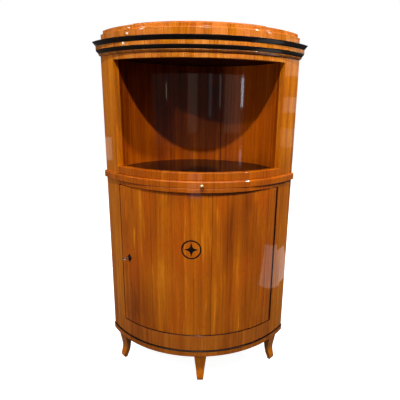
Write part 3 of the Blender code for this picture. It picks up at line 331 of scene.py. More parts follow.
class Finish:
    def __init__(self, name, world=False):
        self.material = (bpy.data.worlds if world else bpy.data.materials).new(name)
        self.material.use_nodes = True
        self.tree = self.material.node_tree
        self.tree.nodes.clear()
        self.out = self.tree.nodes.new("ShaderNodeOutput" + ("World" if world else "Material"))

    def node(self, kind, settings=None, sockets=None, output=0):
        made = self.tree.nodes.new(kind)
        for name, value in (settings or {}).items():
            if name == "stops":
                self.setStops(made.color_ramp, value)
            else:
                setattr(made, name, value)
        for name, value in (sockets or {}).items():
            socket = made.inputs[name]
            if isinstance(value, Value):
                self.tree.links.new(value.socket, socket)
            else:
                socket.default_value = value
        return Value(self, made.outputs[output])

    def setStops(self, ramp, stops):
        while len(ramp.elements) < len(stops):
            ramp.elements.new(1.0)
        for element, (place, colour) in zip(ramp.elements, stops):
            element.position = place
            element.color = (*colour, 1.0)

    def maths(self, operation, first, second=0.0):
        return self.node("ShaderNodeMath", {"operation": operation}, {0: first, 1: second})

    def mixColour(self, factor, first, second):
        return self.node("ShaderNodeMix", {"data_type": "RGBA"},
                         {0: factor, 6: first, 7: second}, output=2)

    def ramp(self, value, stops):
        return self.node("ShaderNodeValToRGB", {"stops": stops}, {"Fac": value})

    def noise(self, place, detail=2.0, roughness=0.5, distortion=0.0):
        return self.node("ShaderNodeTexNoise", None,
                         {"Vector": place, "Scale": 1.0, "Detail": detail, "Roughness": roughness,
                          "Distortion": distortion})

    def vector(self, x, y, z):
        return self.node("ShaderNodeCombineXYZ", None, {"X": x, "Y": y, "Z": z})

    def objectPlace(self):
        place = self.node("ShaderNodeTexCoord", output=3)
        parts = self.tree.nodes.new("ShaderNodeSeparateXYZ")
        self.tree.links.new(place.socket, parts.inputs[0])
        return [Value(self, parts.outputs[i]) for i in range(3)]

    def bowPlace(self, hollow=None):
        # Length along the bow, depth from its axis, and height.
        x, y, z = self.objectPlace()
        outward = y - hollow["middleY"] if hollow else centreY - y
        length = self.maths("ARCTAN2", x, outward) * (hollow or plan)["frontRadius"]
        depth = (x * x + outward * outward).root()
        return length, depth, z

    def bump(self, height, distance):
        return self.node("ShaderNodeBump", None, {"Height": height, "Distance": distance})

    def surface(self, **sockets):
        named = {name.replace("_", " ").title().replace("Ior", "IOR"): value
                 for name, value in sockets.items()}
        return self.show(self.node("ShaderNodeBsdfPrincipled", None, named))

    def show(self, shader):
        self.tree.links.new(shader.socket, self.out.inputs["Surface"])
        return self.material


def paint(red, green, blue):
    # From the 0 to 255 scale of a picture to scene light.
    return tuple((c / 255 / 12.92) if c <= 10.31 else ((c / 255 + 0.055) / 1.055) ** 2.4
                 for c in (red, green, blue))


# Waves per metre of each pattern in the wood: along the bow, in depth and in height
grain = {"bands": (30, 8, 0.8), "streaks": (110, 30, 1.2), "fine": (340, 90, 4), "darts": (60, 9, 4.6),
         "threads": (170, 60, 0.7), "pores": (900, 400, 24), "clouds": (6, 6, 2.6),
         "redness": (7, 7, 2.2), "waves": (9, 9, 4)}
# Where painted shade darkens the edges round the door, standing in for the shade in its gaps: each pair is where
# the painted shade begins and is whole
doorway = {"back": (0.5515, 0.5525), "front": (0.5712, 0.5720), "bottom": (0.175, 0.177),
           "top": (1.014, 1.016), "halfWidth": (0.4303, 0.4308), "toHingeGap": 0.4267,
           "hingeGap": (0.0072, 0.0084), "toLockGap": 0.4288, "lockGap": (0.0024, 0.0032),
           "fade": 0.0015, "sill": (0.0034, 0.0050), "sillReach": (0.4300, 0.4310), "sillShare": 0.8}


def veneer(name, look):
    # Upright cherry veneer on the bow: leaves side by side, each with its own streaks and tone.
    finish = Finish(name)
    length, depth, height = finish.bowPlace(look.get("hollow"))
    leaf = length / look["leafWidth"] + look["shift"]
    tone = finish.node("ShaderNodeTexWhiteNoise", {"noise_dimensions": "1D"}, {"W": leaf.floor()})
    bend = (finish.noise(finish.vector(length * 5, 0.0, height * 1.6 + look["shift"])) - 0.5) * 0.03
    place = length + bend + tone * 3.0

    def pattern(along, waves, shift=0.0, **settings):
        upward = height * waves[2] + shift if shift else height * waves[2]
        return finish.noise(finish.vector(along * waves[0], depth * waves[1], upward), **settings)

    bands = pattern(place, grain["bands"])
    streaks = pattern(place, grain["streaks"], detail=3.0, roughness=0.65)
    fine = pattern(place, grain["fine"])
    flames = pattern(place, (look["flameAcross"], 9, look["flameUp"]), roughness=0.4,
                     distortion=0.6).rise(0.50, 0.76)
    darts = pattern(place, grain["darts"], detail=1.0, distortion=0.3).rise(0.60, 0.74)
    threads = pattern(place, grain["threads"], detail=1.0)
    clouds = pattern(length, grain["clouds"], look["shift"], detail=1.0)
    light = ((bands - 0.5) * look["bands"] + (streaks - 0.5) * look["streaks"] + (fine - 0.5) * 0.5
             + flames * look["flames"] + darts * look["darts"] - threads.rise(0.60, 0.74) * look["threads"]
             + (clouds - 0.5) * look["clouds"] + (tone - 0.5) * look["leafTone"] + look["base"]
             + (look["middleReach"] - length.size()) * look["middle"])
    colour = finish.ramp(light, look["stops"])
    colour = finish.mixColour(tone * look["rosy"], colour, (*look["rosyColour"], 1))
    redness = pattern(length, grain["redness"], 3.0, detail=1.0)
    colour = finish.mixColour(redness.rise(0.48, 0.66) * look["red"], colour, (*look["redColour"], 1))
    edge = (leaf.part() - 0.5).size()
    seam = edge.rise(0.5 - look["seamWidth"] / look["leafWidth"], 0.5) * look["seam"]
    for line, strength, top in look["joints"]:
        near = 1.0 - (length - line).size().rise(0.0003, 0.0014)
        seam = seam.atLeast(near * (1.0 - height.rise(top - 0.04, top)) * strength)
    pores = pattern(place, grain["pores"], detail=1.0)
    dark = (1.0 - pores.rise(0.30, 0.44)) * look["pores"]
    # Painted shade: the narrow faces round the door, the corners at its gaps and a line along its foot are
    # darkened, standing in for the shade that falls in the gaps.
    narrow = (depth.rise(*doorway["back"]) * (1.0 - depth.rise(*doorway["front"]))
              * height.rise(*doorway["bottom"]) * (1.0 - height.rise(*doorway["top"]))
              * (1.0 - length.size().rise(*doorway["halfWidth"])))
    hingeGap = 1.0 - (length - doorway["toHingeGap"]).size().rise(*doorway["hingeGap"])
    lockGap = 1.0 - (length + doorway["toLockGap"]).size().rise(*doorway["lockGap"])
    low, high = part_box("door_panel")
    beside = (hingeGap.atLeast(lockGap) * height.rise(low.z - doorway["fade"], low.z)
              * (1.0 - height.rise(high.z, high.z + doorway["fade"])))
    sill = ((1.0 - (height - low.z).size().rise(*doorway["sill"]))
            * (1.0 - length.size().rise(*doorway["sillReach"])) * doorway["sillShare"])
    # Pores and seams are the wood's own dark marks; the rest is painted gap shade.
    poresSeamsAndGapShade = (dark + seam + narrow.atLeast(beside).atLeast(sill) * look["edgeStain"]).atMost(1.0)
    colour = finish.mixColour(poresSeamsAndGapShade, colour, (*look["seamColour"], 1))
    waves = pattern(length, grain["waves"], detail=1.0)
    bump = finish.bump(pores.rise(0.30, 0.44) + fine * 0.3 - seam + waves * look["waves"], 0.00004)
    return finish.surface(base_color=colour, roughness=0.34 + fine * 0.12, normal=bump,
                          specular_ior_level=0.0, coat_weight=look["coat"],
                          coat_roughness=look["coatRoughness"])


# The edge strength and the seam colour also set the painted shade in the gaps round the door.
cherry = {"base": 0.48, "bands": 0.6, "streaks": 0.55, "flames": 0.20, "flameAcross": 30, "flameUp": 2.6,
          "clouds": 0.6, "threads": 0.15, "darts": 0.12, "leafTone": 0.1, "pores": 0.35, "waves": 60,
          "middle": 0.0, "middleReach": 0.22, "red": 0.15, "redColour": (0.56, 0.085, 0.001),
          "rosy": 0.1, "rosyColour": (0.64, 0.17, 0.008), "leafWidth": 0.6, "shift": 0.5, "joints": (),
          "seam": 0.0, "seamWidth": 0.0008, "seamColour": (0.040, 0.006, 0.001), "edgeStain": 0.96,
          "coat": 0.9, "coatRoughness": 0.05,
          "stops": [(0.0, (0.22, 0.034, 0.001)), (0.3, (0.42, 0.078, 0.001)),
                    (0.5, (0.54, 0.115, 0.001)), (0.7, (0.64, 0.155, 0.001)),
                    (1.0, (0.82, 0.245, 0.005))]}
goldenStops = [(0.0, (0.26, 0.050, 0.001)), (0.3, (0.42, 0.105, 0.001)), (0.5, (0.53, 0.150, 0.003)),
               (0.7, (0.64, 0.200, 0.008)), (1.0, (0.82, 0.300, 0.030))]
redStops = [(0.0, (0.13, 0.016, 0.001)), (0.3, (0.28, 0.042, 0.001)), (0.5, (0.37, 0.063, 0.001)),
            (0.7, (0.45, 0.085, 0.001)), (1.0, (0.60, 0.135, 0.003))]
corniceVeneer = veneer("cornice_cherry", cherry | {
    "leafWidth": 0.034, "shift": 0.35, "leafTone": 0.34, "rosy": 0.5, "seam": 0.75, "threads": 0.35,
    "rosyColour": (0.64, 0.18, 0.06), "coatRoughness": 0.03, "waves": 0, "stops": goldenStops})
# A lighter copy of the cornice stops: painted light for the frieze, the bead and the top rail, which lie in the
# black mouldings' shade.
friezeVeneerPaintedLight = veneer("frieze_cherry", cherry | {
    "leafWidth": 0.031, "shift": 2.6, "leafTone": 0.34, "rosy": 0.4, "seam": 0.75, "threads": 0.35,
    "rosyColour": (0.66, 0.20, 0.06), "coatRoughness": 0.03, "waves": 0,
    "stops": [(place, (red * 1.12, green * 1.16, blue)) for place, (red, green, blue) in goldenStops]})
railVeneer = veneer("rail_cherry", cherry | {
    "leafWidth": 0.041, "shift": 4.1, "leafTone": 0.15, "rosy": 0.2, "seam": 0.5, "threads": 0.25,
    "stops": [(0.0, (0.18, 0.030, 0.001)), (0.3, (0.34, 0.062, 0.001)), (0.5, (0.43, 0.087, 0.001)),
              (0.7, (0.52, 0.118, 0.001)), (1.0, (0.66, 0.180, 0.005))]})
baseVeneer = veneer("base_cherry", cherry | {
    "leafWidth": 0.052, "shift": 1.3, "leafTone": 0.12, "rosy": 0.1, "seam": 0.4, "threads": 0.2,
    "stops": [(0.0, (0.20, 0.040, 0.002)), (0.3, (0.36, 0.080, 0.003)), (0.5, (0.46, 0.112, 0.006)),
              (0.7, (0.56, 0.150, 0.010)), (1.0, (0.70, 0.215, 0.024))]})
stileVeneer = veneer("stile_cherry", cherry | {
    "flameUp": 2, "red": 0.05, "rosy": 0.05, "waves": 40,
    "stops": [(0.0, (0.24, 0.046, 0.001)), (0.3, (0.45, 0.103, 0.001)), (0.5, (0.59, 0.155, 0.001)),
              (0.7, (0.70, 0.205, 0.002)), (1.0, (0.88, 0.310, 0.010))]})
doorVeneer = veneer("door_cherry", cherry | {
    "stops": [(0.0, (0.20, 0.035, 0.0006)), (0.3, (0.39, 0.080, 0.0008)), (0.5, (0.51, 0.117, 0.001)),
              (0.7, (0.62, 0.160, 0.002)), (1.0, (0.86, 0.280, 0.010))],
    "bands": 1.0, "streaks": 0.55, "threads": 0.2, "clouds": 0.8, "middle": 0.12,
    "leafWidth": 0.30, "shift": 0.7667, "flames": 0.18, "darts": 0.30, "red": 0.4, "seam": 1.0,
    "seamWidth": 0.0018, "joints": ((-0.0155, 0.5, 0.60), (0.128, 0.35, 0.46), (0.176, 0.3, 2.0))})
nicheVeneer = veneer("niche_cherry", cherry | {
    "leafWidth": 0.135, "shift": 0.62, "leafTone": 0.10, "flames": 0.25, "flameAcross": 14, "flameUp": 2,
    "bands": 1.1, "streaks": 0.7, "threads": 0.3, "clouds": 0.3, "middle": 0.25, "seam": 0.6,
    "joints": ((0.1095, 0.9, 3.0), (0.1115, 0.95, 3.0), (0.1135, 0.9, 1.38)), "edgeStain": 0.0,
    "hollow": {"middleY": -0.257, "frontRadius": 0.387}, "stops": redStops})


def boardWood(name, look):
    # Plain boards inside and behind, with the grain along one axis.
    finish = Finish(name)
    x, y, z = finish.objectPlace()
    along = {"x": (2.0, 40.0, 40.0), "y": (40.0, 2.0, 40.0), "z": (40.0, 40.0, 2.0)}[look["grain"]]
    bend = finish.noise(finish.vector(x * 3, y * 3, z * 3)) * 0.03
    place = finish.vector((x + bend) * along[0], (y + bend) * along[1], (z + bend) * along[2])
    rings = finish.noise(place, detail=4.0, roughness=0.6)
    fine = finish.noise(finish.vector(x * along[0] * 14, y * along[1] * 14, z * along[2] * 8))
    light = (rings - 0.5) * 1.3 + (fine - 0.5) * 0.4 + 0.5
    colour = finish.ramp(light, look["stops"])
    return finish.surface(base_color=colour, roughness=look["roughness"] + fine * 0.15,
                          specular_ior_level=look.get("sheen", 0.4), coat_weight=look["coat"],
                          coat_roughness=0.2, normal=finish.bump(fine, 0.0001))


topStops = [(0.0, (0.30, 0.06, 0.003)), (0.5, (0.52, 0.13, 0.006)), (1.0, (0.72, 0.24, 0.03))]
# Near-black stops for the niche's ceiling: painted shade, for an underside that sits in the niche's shadow.
nicheCeilingShadeStops = [(0.0, (0.020, 0.004, 0.002)), (0.5, (0.045, 0.010, 0.004)), (1.0, (0.085, 0.024, 0.010))]
rawStops = [(0.0, paint(96, 52, 24)), (0.5, paint(156, 96, 50)), (1.0, paint(198, 142, 88))]
topCherry = boardWood("top_cherry", {"grain": "x", "roughness": 0.35, "coat": 0.5, "stops": topStops})
# The niche ceiling's near-black colour is painted shade.
shadedNicheCeiling = boardWood("ceiling_cherry", {"grain": "x", "roughness": 0.3, "coat": 0.1,
                                             "sheen": 0.0, "stops": nicheCeilingShadeStops})
innerAcross = boardWood("inner_across", {"grain": "x", "roughness": 0.5, "coat": 0.1, "stops": rawStops})
innerUpright = boardWood("inner_upright", {"grain": "z", "roughness": 0.55, "coat": 0.0,
                                           "stops": rawStops})


def blackPolish(name, look):
    # Black stain under polish, worn a little brown where hands and dusters reach.
    finish = Finish(name)
    x, y, z = finish.objectPlace()
    spots = finish.noise(finish.vector(x * 30, y * 30, z * 30), detail=3.0)
    fine = finish.noise(finish.vector(x * 240, y * 240, z * 240), detail=2.0)
    colour = finish.ramp(spots + fine * 0.2, [(0.45, paint(7, 6, 6)), (0.85, paint(26, 17, 12))])
    return finish.surface(base_color=colour, roughness=look["roughness"] + spots * 0.12,
                          specular_ior_level=look["sheen"], coat_weight=look["coat"],
                          coat_roughness=0.05, normal=finish.bump(fine, 0.00003))


blackMoulding = blackPolish("black_moulding", {"roughness": 0.28, "coat": 0.35, "sheen": 0.1})
blackMirror = blackPolish("black_mirror", {"roughness": 0.2, "coat": 0.62, "sheen": 0.0})
blackInlay = blackPolish("black_inlay", {"roughness": 0.3, "coat": 0.25, "sheen": 0.1})


def metal(name, look):
    finish = Finish(name)
    x, y, z = finish.objectPlace()
    spots = finish.noise(finish.vector(x * 260, y * 260, z * 260), detail=4.0, roughness=0.65)
    scratches = finish.noise(finish.vector(x * 900, y * 900, z * 160), detail=2.0)
    colour = finish.ramp(spots, [(0.3, paint(*look["dark"])), (0.6, paint(*look["bright"]))])
    return finish.surface(base_color=colour, metallic=1.0,
                          roughness=look["roughness"] + spots * 0.15 + scratches * 0.08,
                          normal=finish.bump(scratches, 0.00002))


brass = metal("old_brass", {"dark": (176, 142, 88), "bright": (244, 218, 166), "roughness": 0.30})
steel = metal("old_steel", {"dark": (84, 77, 70), "bright": (158, 152, 144), "roughness": 0.25})
print("finishes made")


# Cornice, tiers and base mouldings

wholeBars = {
    "tier_lower": {"lower": 0.0015, "upper": 0.0030, "finish": "wood"},
    "tier_middle": {"lower": 0.0015, "upper": 0.0030, "finish": "wood"},
    "cornice_frieze": {"finish": "wood"},
    "cornice_bead": {"lower": 0.0080, "upper": 0.0022, "profile": 0.3, "finish": "wood"},
    "cornice_upper_black": {"lower": 0.0152, "upper": 0.0012, "segments": 10, "profile": 0.22,
                            "finish": "black"},
    "cornice_lower_black": {"lower": 0.0113, "upper": 0.0008, "segments": 10, "profile": 0.22,
                            "finish": "black"},
    "base_bead": {"lower": 0.0033, "upper": 0.0033, "finish": "black"},
    "plinth_edge": {"lower": 0.0015, "upper": 0.0015, "finish": "wood"},
}
for node, look in wholeBars.items():
    bar = bowed(node + "_bow", nodeSection(node, **look), -plan["pastWalls"], plan["pastWalls"])
    cutAtWalls(bar)
    wooden = look["finish"] == "wood"
    veneerHere = {"plinth_edge": baseVeneer, "cornice_frieze": friezeVeneerPaintedLight,
                  "cornice_bead": friezeVeneerPaintedLight}.get(node, corniceVeneer)
    dress(bar, "carcass", "cherry_veneer" if wooden else "ebonised_wood",
          (veneerHere, topCherry) if wooden else blackMoulding, node)
    if wooden:
        topFacesTo(bar, 1)
    smooth(bar)
print("cornice and base made")

# Rails between the stiles

railReach = plan["openingEdge"] - plan["jointGap"]
rails = {
    "top_rail": {"lower": 0.0015, "upper": 0.0010},
    "upper_waist_rail": {"lower": 0.0015, "upper": 0.0030},
    "lower_waist_rail": {"lower": 0.0015, "upper": 0.0030},
    "bottom_rail": {"lower": 0.0010, "upper": 0.0015},
}
# The lower waist rail's own, tighter circle: how far its middle stands forward, its radii and reach
swell = {"forward": 0.0451, "front": 0.5409, "back": 0.5133, "reach": math.radians(46.22)}
railPieces = {}
for node, look in rails.items():
    reach, middleY = railReach, centreY
    if node == "lower_waist_rail":  # swells 13 mm in the middle, where it carries the slide
        look = look | {"front": swell["front"], "back": swell["back"]}
        reach, middleY = swell["reach"], centreY - swell["forward"]
    rail = bowed(node + "_bow", nodeSection(node, **look), -reach, reach, middleY)
    veneerHere = {"top_rail": friezeVeneerPaintedLight, "bottom_rail": baseVeneer}.get(node, railVeneer)
    railPieces[node] = dress(rail, "carcass", "cherry_veneer", veneerHere, node)

# Stiles and the waist moulding that crosses them

stilePieces = {}
for side, sign in (("right", 1), ("left", -1)):
    for part, look in (("stile", {"lower": 0.0, "upper": 0.0}),
                       ("waist_moulding", {"lower": 0.0015, "upper": 0.008, "segments": 8})):
        node = side + "_" + part
        section = nodeSection("door_panel" if part == "stile" else "slide_front", **look)
        low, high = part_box(node)
        section["bottom"], section["top"] = low.z, high.z
        section["back"] = plan["frameBack"] if part == "stile" else plan["frontRadius"] + 0.0003
        ends = sorted((sign * plan["openingEdge"], sign * plan["pastWalls"]))
        piece = bowed(node + "_bow", section, *ends)
        cutAtWalls(piece, left=sign < 0, right=sign > 0)
        stilePieces[node] = dress(piece, "carcass", "cherry_veneer",
                                  stileVeneer if part == "stile" else railVeneer, node)
print("rails and stiles made")

# Pockets in the fixed frame, for the hinge plates, the strike plate and the bolt

plateThick = 0.0021
for node, rail in (("lower_pivot_plate", "bottom_rail"), ("upper_pivot_plate", "lower_waist_rail")):
    low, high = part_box(node)
    face = low.z if rail == "bottom_rail" else high.z
    pocket = grownCopy(node, node + "_pocket", gaps["plate"], lambda co: abs(co.z - face) < plateThick)
    boolean(railPieces[rail], pocket)
boltJoint = next(j for j in frame["joints"] if j["name"] == "bolt_throw")
boltAxis = Vector(boltJoint["axis"])
boltThrow = boltJoint["range_m"][1]
boolean(stilePieces["left_stile"], grownCopy("strike_plate", "strike_pocket", gaps["plate"]))
boolean(stilePieces["left_stile"],
        slideCopy(grownCopy("lock_bolt", "bolt_mortise", gaps["boltMortise"]), boltAxis * boltThrow))
for piece in list(railPieces.values()) + list(stilePieces.values()):
    smooth(piece)

# The slide's front, with its rounded upper edge

slideLook = {"back": 0.563, "lower": 0.0015, "upper": 0.008, "segments": 8, "sideGap": 0.0020}
slideReach = plan["openingEdge"] - slideLook["sideGap"] / plan["frontRadius"]
slideFront = bowed("slide_front_bow", nodeSection("slide_front", **slideLook), -slideReach, slideReach)
smooth(dress(slideFront, "slide", "cherry_veneer", railVeneer, "slide_front"))

# The knob: a rose, a neck and a ball

knob = {"angle": 0.020 / plan["frontRadius"], "rose": 0.0055, "roseThick": 0.0015, "neck": 0.0032,
        "neckLength": 0.004,
        "ball": 0.0092, "rows": 20, "ballFrom": math.radians(160), "ballSweep": math.radians(158)}
low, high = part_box("slide_knob")
knobHeight = (low.z + high.z) / 2
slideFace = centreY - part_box("slide_front")[0].y
profile = [(-0.002, knob["rose"]), (knob["roseThick"] * 0.55, knob["rose"]),
           (knob["roseThick"], knob["rose"] * 0.86), (knob["roseThick"] * 1.2, knob["neck"] * 1.1),
           (knob["roseThick"] + knob["neckLength"] * 0.5, knob["neck"] * 0.92)]
ballMiddle = knob["roseThick"] + knob["neckLength"] + knob["ball"]
for row in range(knob["rows"] - 1):
    turn = knob["ballFrom"] - row * knob["ballSweep"] / (knob["rows"] - 2)
    profile.append((ballMiddle + knob["ball"] * math.cos(turn), knob["ball"] * math.sin(turn)))
knobPiece = faceOut(turned("slide_knob_turned", profile), knob["angle"], slideFace, knobHeight)
smooth(dress(knobPiece, "slide", "brass", brass, "slide_knob"), 60)
print("slide and knob made")

# The curved door

door = {"lockEdge": math.radians(42.76), "hingeEdge": math.radians(42.338), "back": 0.551,
        "inlayDepth": 0.0015, "inlayProud": 0.0001, "shellPast": 0.008, "roomPast": 0.003}
doorSection = nodeSection("door_panel", back=door["back"], lower=0.0008, upper=0.0008, segments=3)
doorPiece = bowed("door_panel_bow", doorSection, -door["lockEdge"], door["hingeEdge"])


def inlayShell(name, node, deeper=0.0, prouder=0.0):
    low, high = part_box(node)
    return bowed(name, {"back": plan["frontRadius"] - door["inlayDepth"] - deeper,
                        "front": plan["frontRadius"] + door["inlayProud"] + prouder,
                        "bottom": low.z - door["shellPast"], "top": high.z + door["shellPast"]},
                 -door["lockEdge"], door["hingeEdge"])


def letIn(piece, node, pocketTool):
    # Wraps an inlay on the bow and cuts its pocket in the door.
    room = inlayShell(node + "_room", node, gaps["inlay"], door["roomPast"])
    boolean(pocketTool, room, "INTERSECT")
    boolean(doorPiece, pocketTool)
    boolean(piece, inlayShell(node + "_skin", node), "INTERSECT")
    return piece


inlay = {"ringOuter": 0.0483, "ringWidth": 0.007, "starTip": 0.0365, "across": -0.027,
         "ringSides": 96, "sideShare": 1.00054,  # an inset is measured at the sides, not the corners
         "toolBack": -0.01, "toolLength": 0.025,
         "starShares": (1.0, 0.736, 0.591, 0.505, 0.452, 0.416, 0.393, 0.380, 0.375)}
inlayAngle = math.asin(inlay["across"] / plan["frontRadius"])
low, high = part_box("door_ring")
inlayHeight = (low.z + high.z) / 2


def ringTool(name, growth):
    clearSelection()
    bpy.ops.mesh.primitive_circle_add(vertices=inlay["ringSides"], radius=inlay["ringOuter"] + growth,
                                      fill_type="NGON")
    piece = placeStart(name, location=(0, 0, inlay["toolBack"]))
    bpy.ops.object.mode_set(mode="EDIT")
    bpy.ops.mesh.inset(thickness=(inlay["ringWidth"] + 2 * growth) * inlay["sideShare"],
                       use_even_offset=True)
    bpy.ops.mesh.delete(type="FACE")
    bpy.ops.mesh.select_all(action="SELECT")
    bpy.ops.mesh.extrude_region_move(TRANSFORM_OT_translate={"value": (0, 0, inlay["toolLength"])})
    bpy.ops.object.mode_set(mode="OBJECT")
    tidyMesh(piece)
    return faceOut(piece, inlayAngle, plan["frontRadius"], inlayHeight)


def starTool(name, growth):
    # A circle whose points are drawn in towards the middle, eight steps from each tip to its valley.
    shares = inlay["starShares"]
    steps = len(shares) - 1
    clearSelection()
    bpy.ops.mesh.primitive_circle_add(vertices=8 * steps, radius=inlay["starTip"] + growth,
                                      fill_type="NGON")
    piece = placeStart(name, location=(0, 0, inlay["toolBack"]))
    bpy.ops.object.mode_set(mode="EDIT")
    quarter = math.pi / 2
    for number, share in enumerate(shares):
        def onStep(co):
            turn = math.atan2(co.y, co.x) % quarter
            fromTip = min(turn, quarter - turn)
            return abs(fromTip - number * quarter / 2 / steps) < 0.01
        pickVerts(piece, onStep)
        bpy.ops.transform.resize(value=(share, share, 1), center_override=(0, 0, 0))
    bpy.ops.mesh.select_all(action="SELECT")
    bpy.ops.mesh.extrude_region_move(TRANSFORM_OT_translate={"value": (0, 0, inlay["toolLength"])})
    bpy.ops.object.mode_set(mode="OBJECT")
    tidyMesh(piece)
    return faceOut(piece, inlayAngle, plan["frontRadius"], inlayHeight)


ringPiece = letIn(ringTool("door_ring_inlay", 0.0), "door_ring", ringTool("ring_pocket", gaps["inlay"]))
starPiece = letIn(starTool("door_star_inlay", 0.0), "door_star", starTool("star_pocket", gaps["inlay"]))
for piece, node in ((ringPiece, "door_ring"), (starPiece, "door_star")):
    smooth(dress(piece, "door", "ebonised_wood", blackInlay, node))

# Lock: the escutcheon, the keyhole through it and the door, and the key

keyJoint = next(j for j in frame["joints"] if j["name"] == "key_turn")
keyPoint = Vector(keyJoint["pos_m"])
keyAxis = Vector(keyJoint["axis"])
lockAngle = math.atan2(keyAxis.x, -keyAxis.y)
lock = {"kiteWidth": 0.034, "kiteAbove": 0.017, "kiteBelow": 0.029, "kiteThick": 0.0012,
        "kiteProud": 0.0006, "keyAngle": math.radians(-37.2), "hole": 0.0028, "slot": 0.0036,
        "slotDrop": 0.0093, "holeBack": -0.03, "holeFront": 0.02, "pocketFront": 0.006}


def kiteTool(name, growth, back, front):
    clearSelection()
    bpy.ops.mesh.primitive_circle_add(vertices=4, radius=1, fill_type="NGON")
    piece = placeStart(name, (lock["kiteWidth"] / 2 + growth, lock["kiteAbove"] + growth, 1),
                       (0, 0, back))
    bpy.ops.object.mode_set(mode="EDIT")
    pickVerts(piece, lambda co: co.y < -lock["kiteAbove"] / 2)
    bpy.ops.transform.translate(value=(0, lock["kiteAbove"] - lock["kiteBelow"], 0))
    bpy.ops.mesh.select_all(action="SELECT")
    bpy.ops.mesh.extrude_region_move(TRANSFORM_OT_translate={"value": (0, 0, front - back)})
    bpy.ops.object.mode_set(mode="OBJECT")
    tidyMesh(piece)
    return faceOut(piece, lock["keyAngle"], plan["frontRadius"], keyPoint.z)


def keyholeTool(name, growth):
    back, front = lock["holeBack"], lock["holeFront"]
    tool = turned(name, [(back, lock["hole"] + growth), (front, lock["hole"] + growth)])
    clearSelection()
    bpy.ops.mesh.primitive_cube_add(size=1)
    drop = lock["slotDrop"] + growth
    slot = placeStart(name + "_slot", (lock["slot"] + 2 * growth, drop, front - back),
                      (0, -drop / 2, (back + front) / 2))
    boolean(tool, slot, "UNION")
    useOnly(tool)
    tool.rotation_euler = (math.pi / 2, 0, lockAngle)
    tool.location = keyPoint
    bpy.ops.object.transform_apply(location=True, rotation=True, scale=True)
    return tool


kiteBack = lock["kiteProud"] - lock["kiteThick"]
kitePiece = kiteTool("escutcheon_plate", 0.0, kiteBack, lock["kiteProud"])
boolean(doorPiece, kiteTool("escutcheon_pocket", gaps["plate"], kiteBack - gaps["plate"],
                            lock["pocketFront"]))
boolean(kitePiece, keyholeTool("plate_keyhole", 0.0))
boolean(doorPiece, keyholeTool("door_keyhole", 0.0))
for node in ("lock_case", "door_lower_bush", "door_upper_bush"):
    boolean(doorPiece, grownCopy(node, node + "_pocket", gaps["plate"]))
for share in (0.0, 0.5, 1.0):  # the bolt's way through the door's edge, at three places of its throw
    boltWay = grownCopy("lock_bolt", "bolt_way", gaps["boltWay"])
    boolean(doorPiece, slideCopy(boltWay, boltAxis * boltThrow * share))
applyModifier(kitePiece, "BEVEL", width=0.0004, segments=2, limit_method="ANGLE",
              angle_limit=math.radians(60))
smooth(dress(kitePiece, "door", "ebonised_wood", blackInlay, "escutcheon"))
smooth(dress(doorPiece, "door", "cherry_veneer", doorVeneer, "door_panel"))

key = {"shank": 0.0025, "collar": 0.0043, "bowLength": 0.027, "bowWidth": 0.023, "wire": 0.0021,
       "reach": 0.018, "bit": (0.009, 0.0052, 0.0025), "start": -0.0199, "collarBack": 0.008,
       "bitFromStart": 0.0045, "ringStart": 0.01}
bowMiddle = key["reach"] - key["wire"] / 2 + key["bowLength"] / 2
shankStart = key["start"]
collarStart = key["reach"] - key["collarBack"]
keyPiece = turned("key_turned", [
    (shankStart, key["shank"] * 0.8), (shankStart + 0.0005, key["shank"]), (collarStart, key["shank"]),
    (collarStart + 0.0006, key["collar"] * 0.86), (collarStart + 0.0012, key["collar"]),
    (collarStart + 0.0028, key["collar"]), (collarStart + 0.0034, key["collar"] * 0.86),
    (collarStart + 0.0040, key["shank"] * 1.1), (key["reach"] + 0.001, key["shank"] * 0.95)], 32)
clearSelection()
bpy.ops.mesh.primitive_torus_add(major_segments=64, minor_segments=16, major_radius=key["ringStart"],
                                 minor_radius=key["wire"])
bow = bpy.context.object
bow.name = "key_bow"
bow.rotation_euler = (math.pi / 2, 0, 0)
bow.location = (0, 0, bowMiddle)
bow.scale = ((key["bowWidth"] / 2 - key["wire"]) / key["ringStart"],
             (key["bowLength"] / 2 - key["wire"]) / key["ringStart"], 1)
bpy.ops.object.transform_apply(location=True, rotation=True, scale=True)
boolean(keyPiece, bow, "UNION")
clearSelection()
bpy.ops.mesh.primitive_cube_add(size=1)
bit = placeStart("key_bit", (key["bit"][0], key["bit"][2], key["bit"][1]),
                 (key["bit"][0] / 2, 0, shankStart + key["bitFromStart"]))
boolean(keyPiece, bit, "UNION")
useOnly(keyPiece)
keyPiece.rotation_euler = (math.pi / 2, 0, lockAngle)
keyPiece.location = keyPoint
bpy.ops.object.transform_apply(location=True, rotation=True, scale=True)
smooth(dress(keyPiece, "key", "steel", steel, "key"), 40)
print("door, lock and key made")

# The niche's curved back

niche = {"thickness": 0.012, "backY": 0.130, "edge": 0.3737, "edgeY": -0.1553}
nicheMiddleY = ((niche["backY"] ** 2 - niche["edge"] ** 2 - niche["edgeY"] ** 2)
                / (2 * (niche["backY"] - niche["edgeY"])))
nicheRadius = niche["backY"] - nicheMiddleY
nicheReach = math.acos((niche["edgeY"] - nicheMiddleY) / nicheRadius)
low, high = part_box("niche_back")
nicheBack = bowed("niche_back_bow", {"back": nicheRadius, "front": nicheRadius + niche["thickness"],
                                     "bottom": low.z, "top": high.z},
                  math.pi - nicheReach, math.pi + nicheReach, nicheMiddleY)
smooth(dress(nicheBack, "carcass", "inner_wood", nicheVeneer, "niche_back"))

# Sabre feet: a block drawn down row by row, then smoothed between its corners

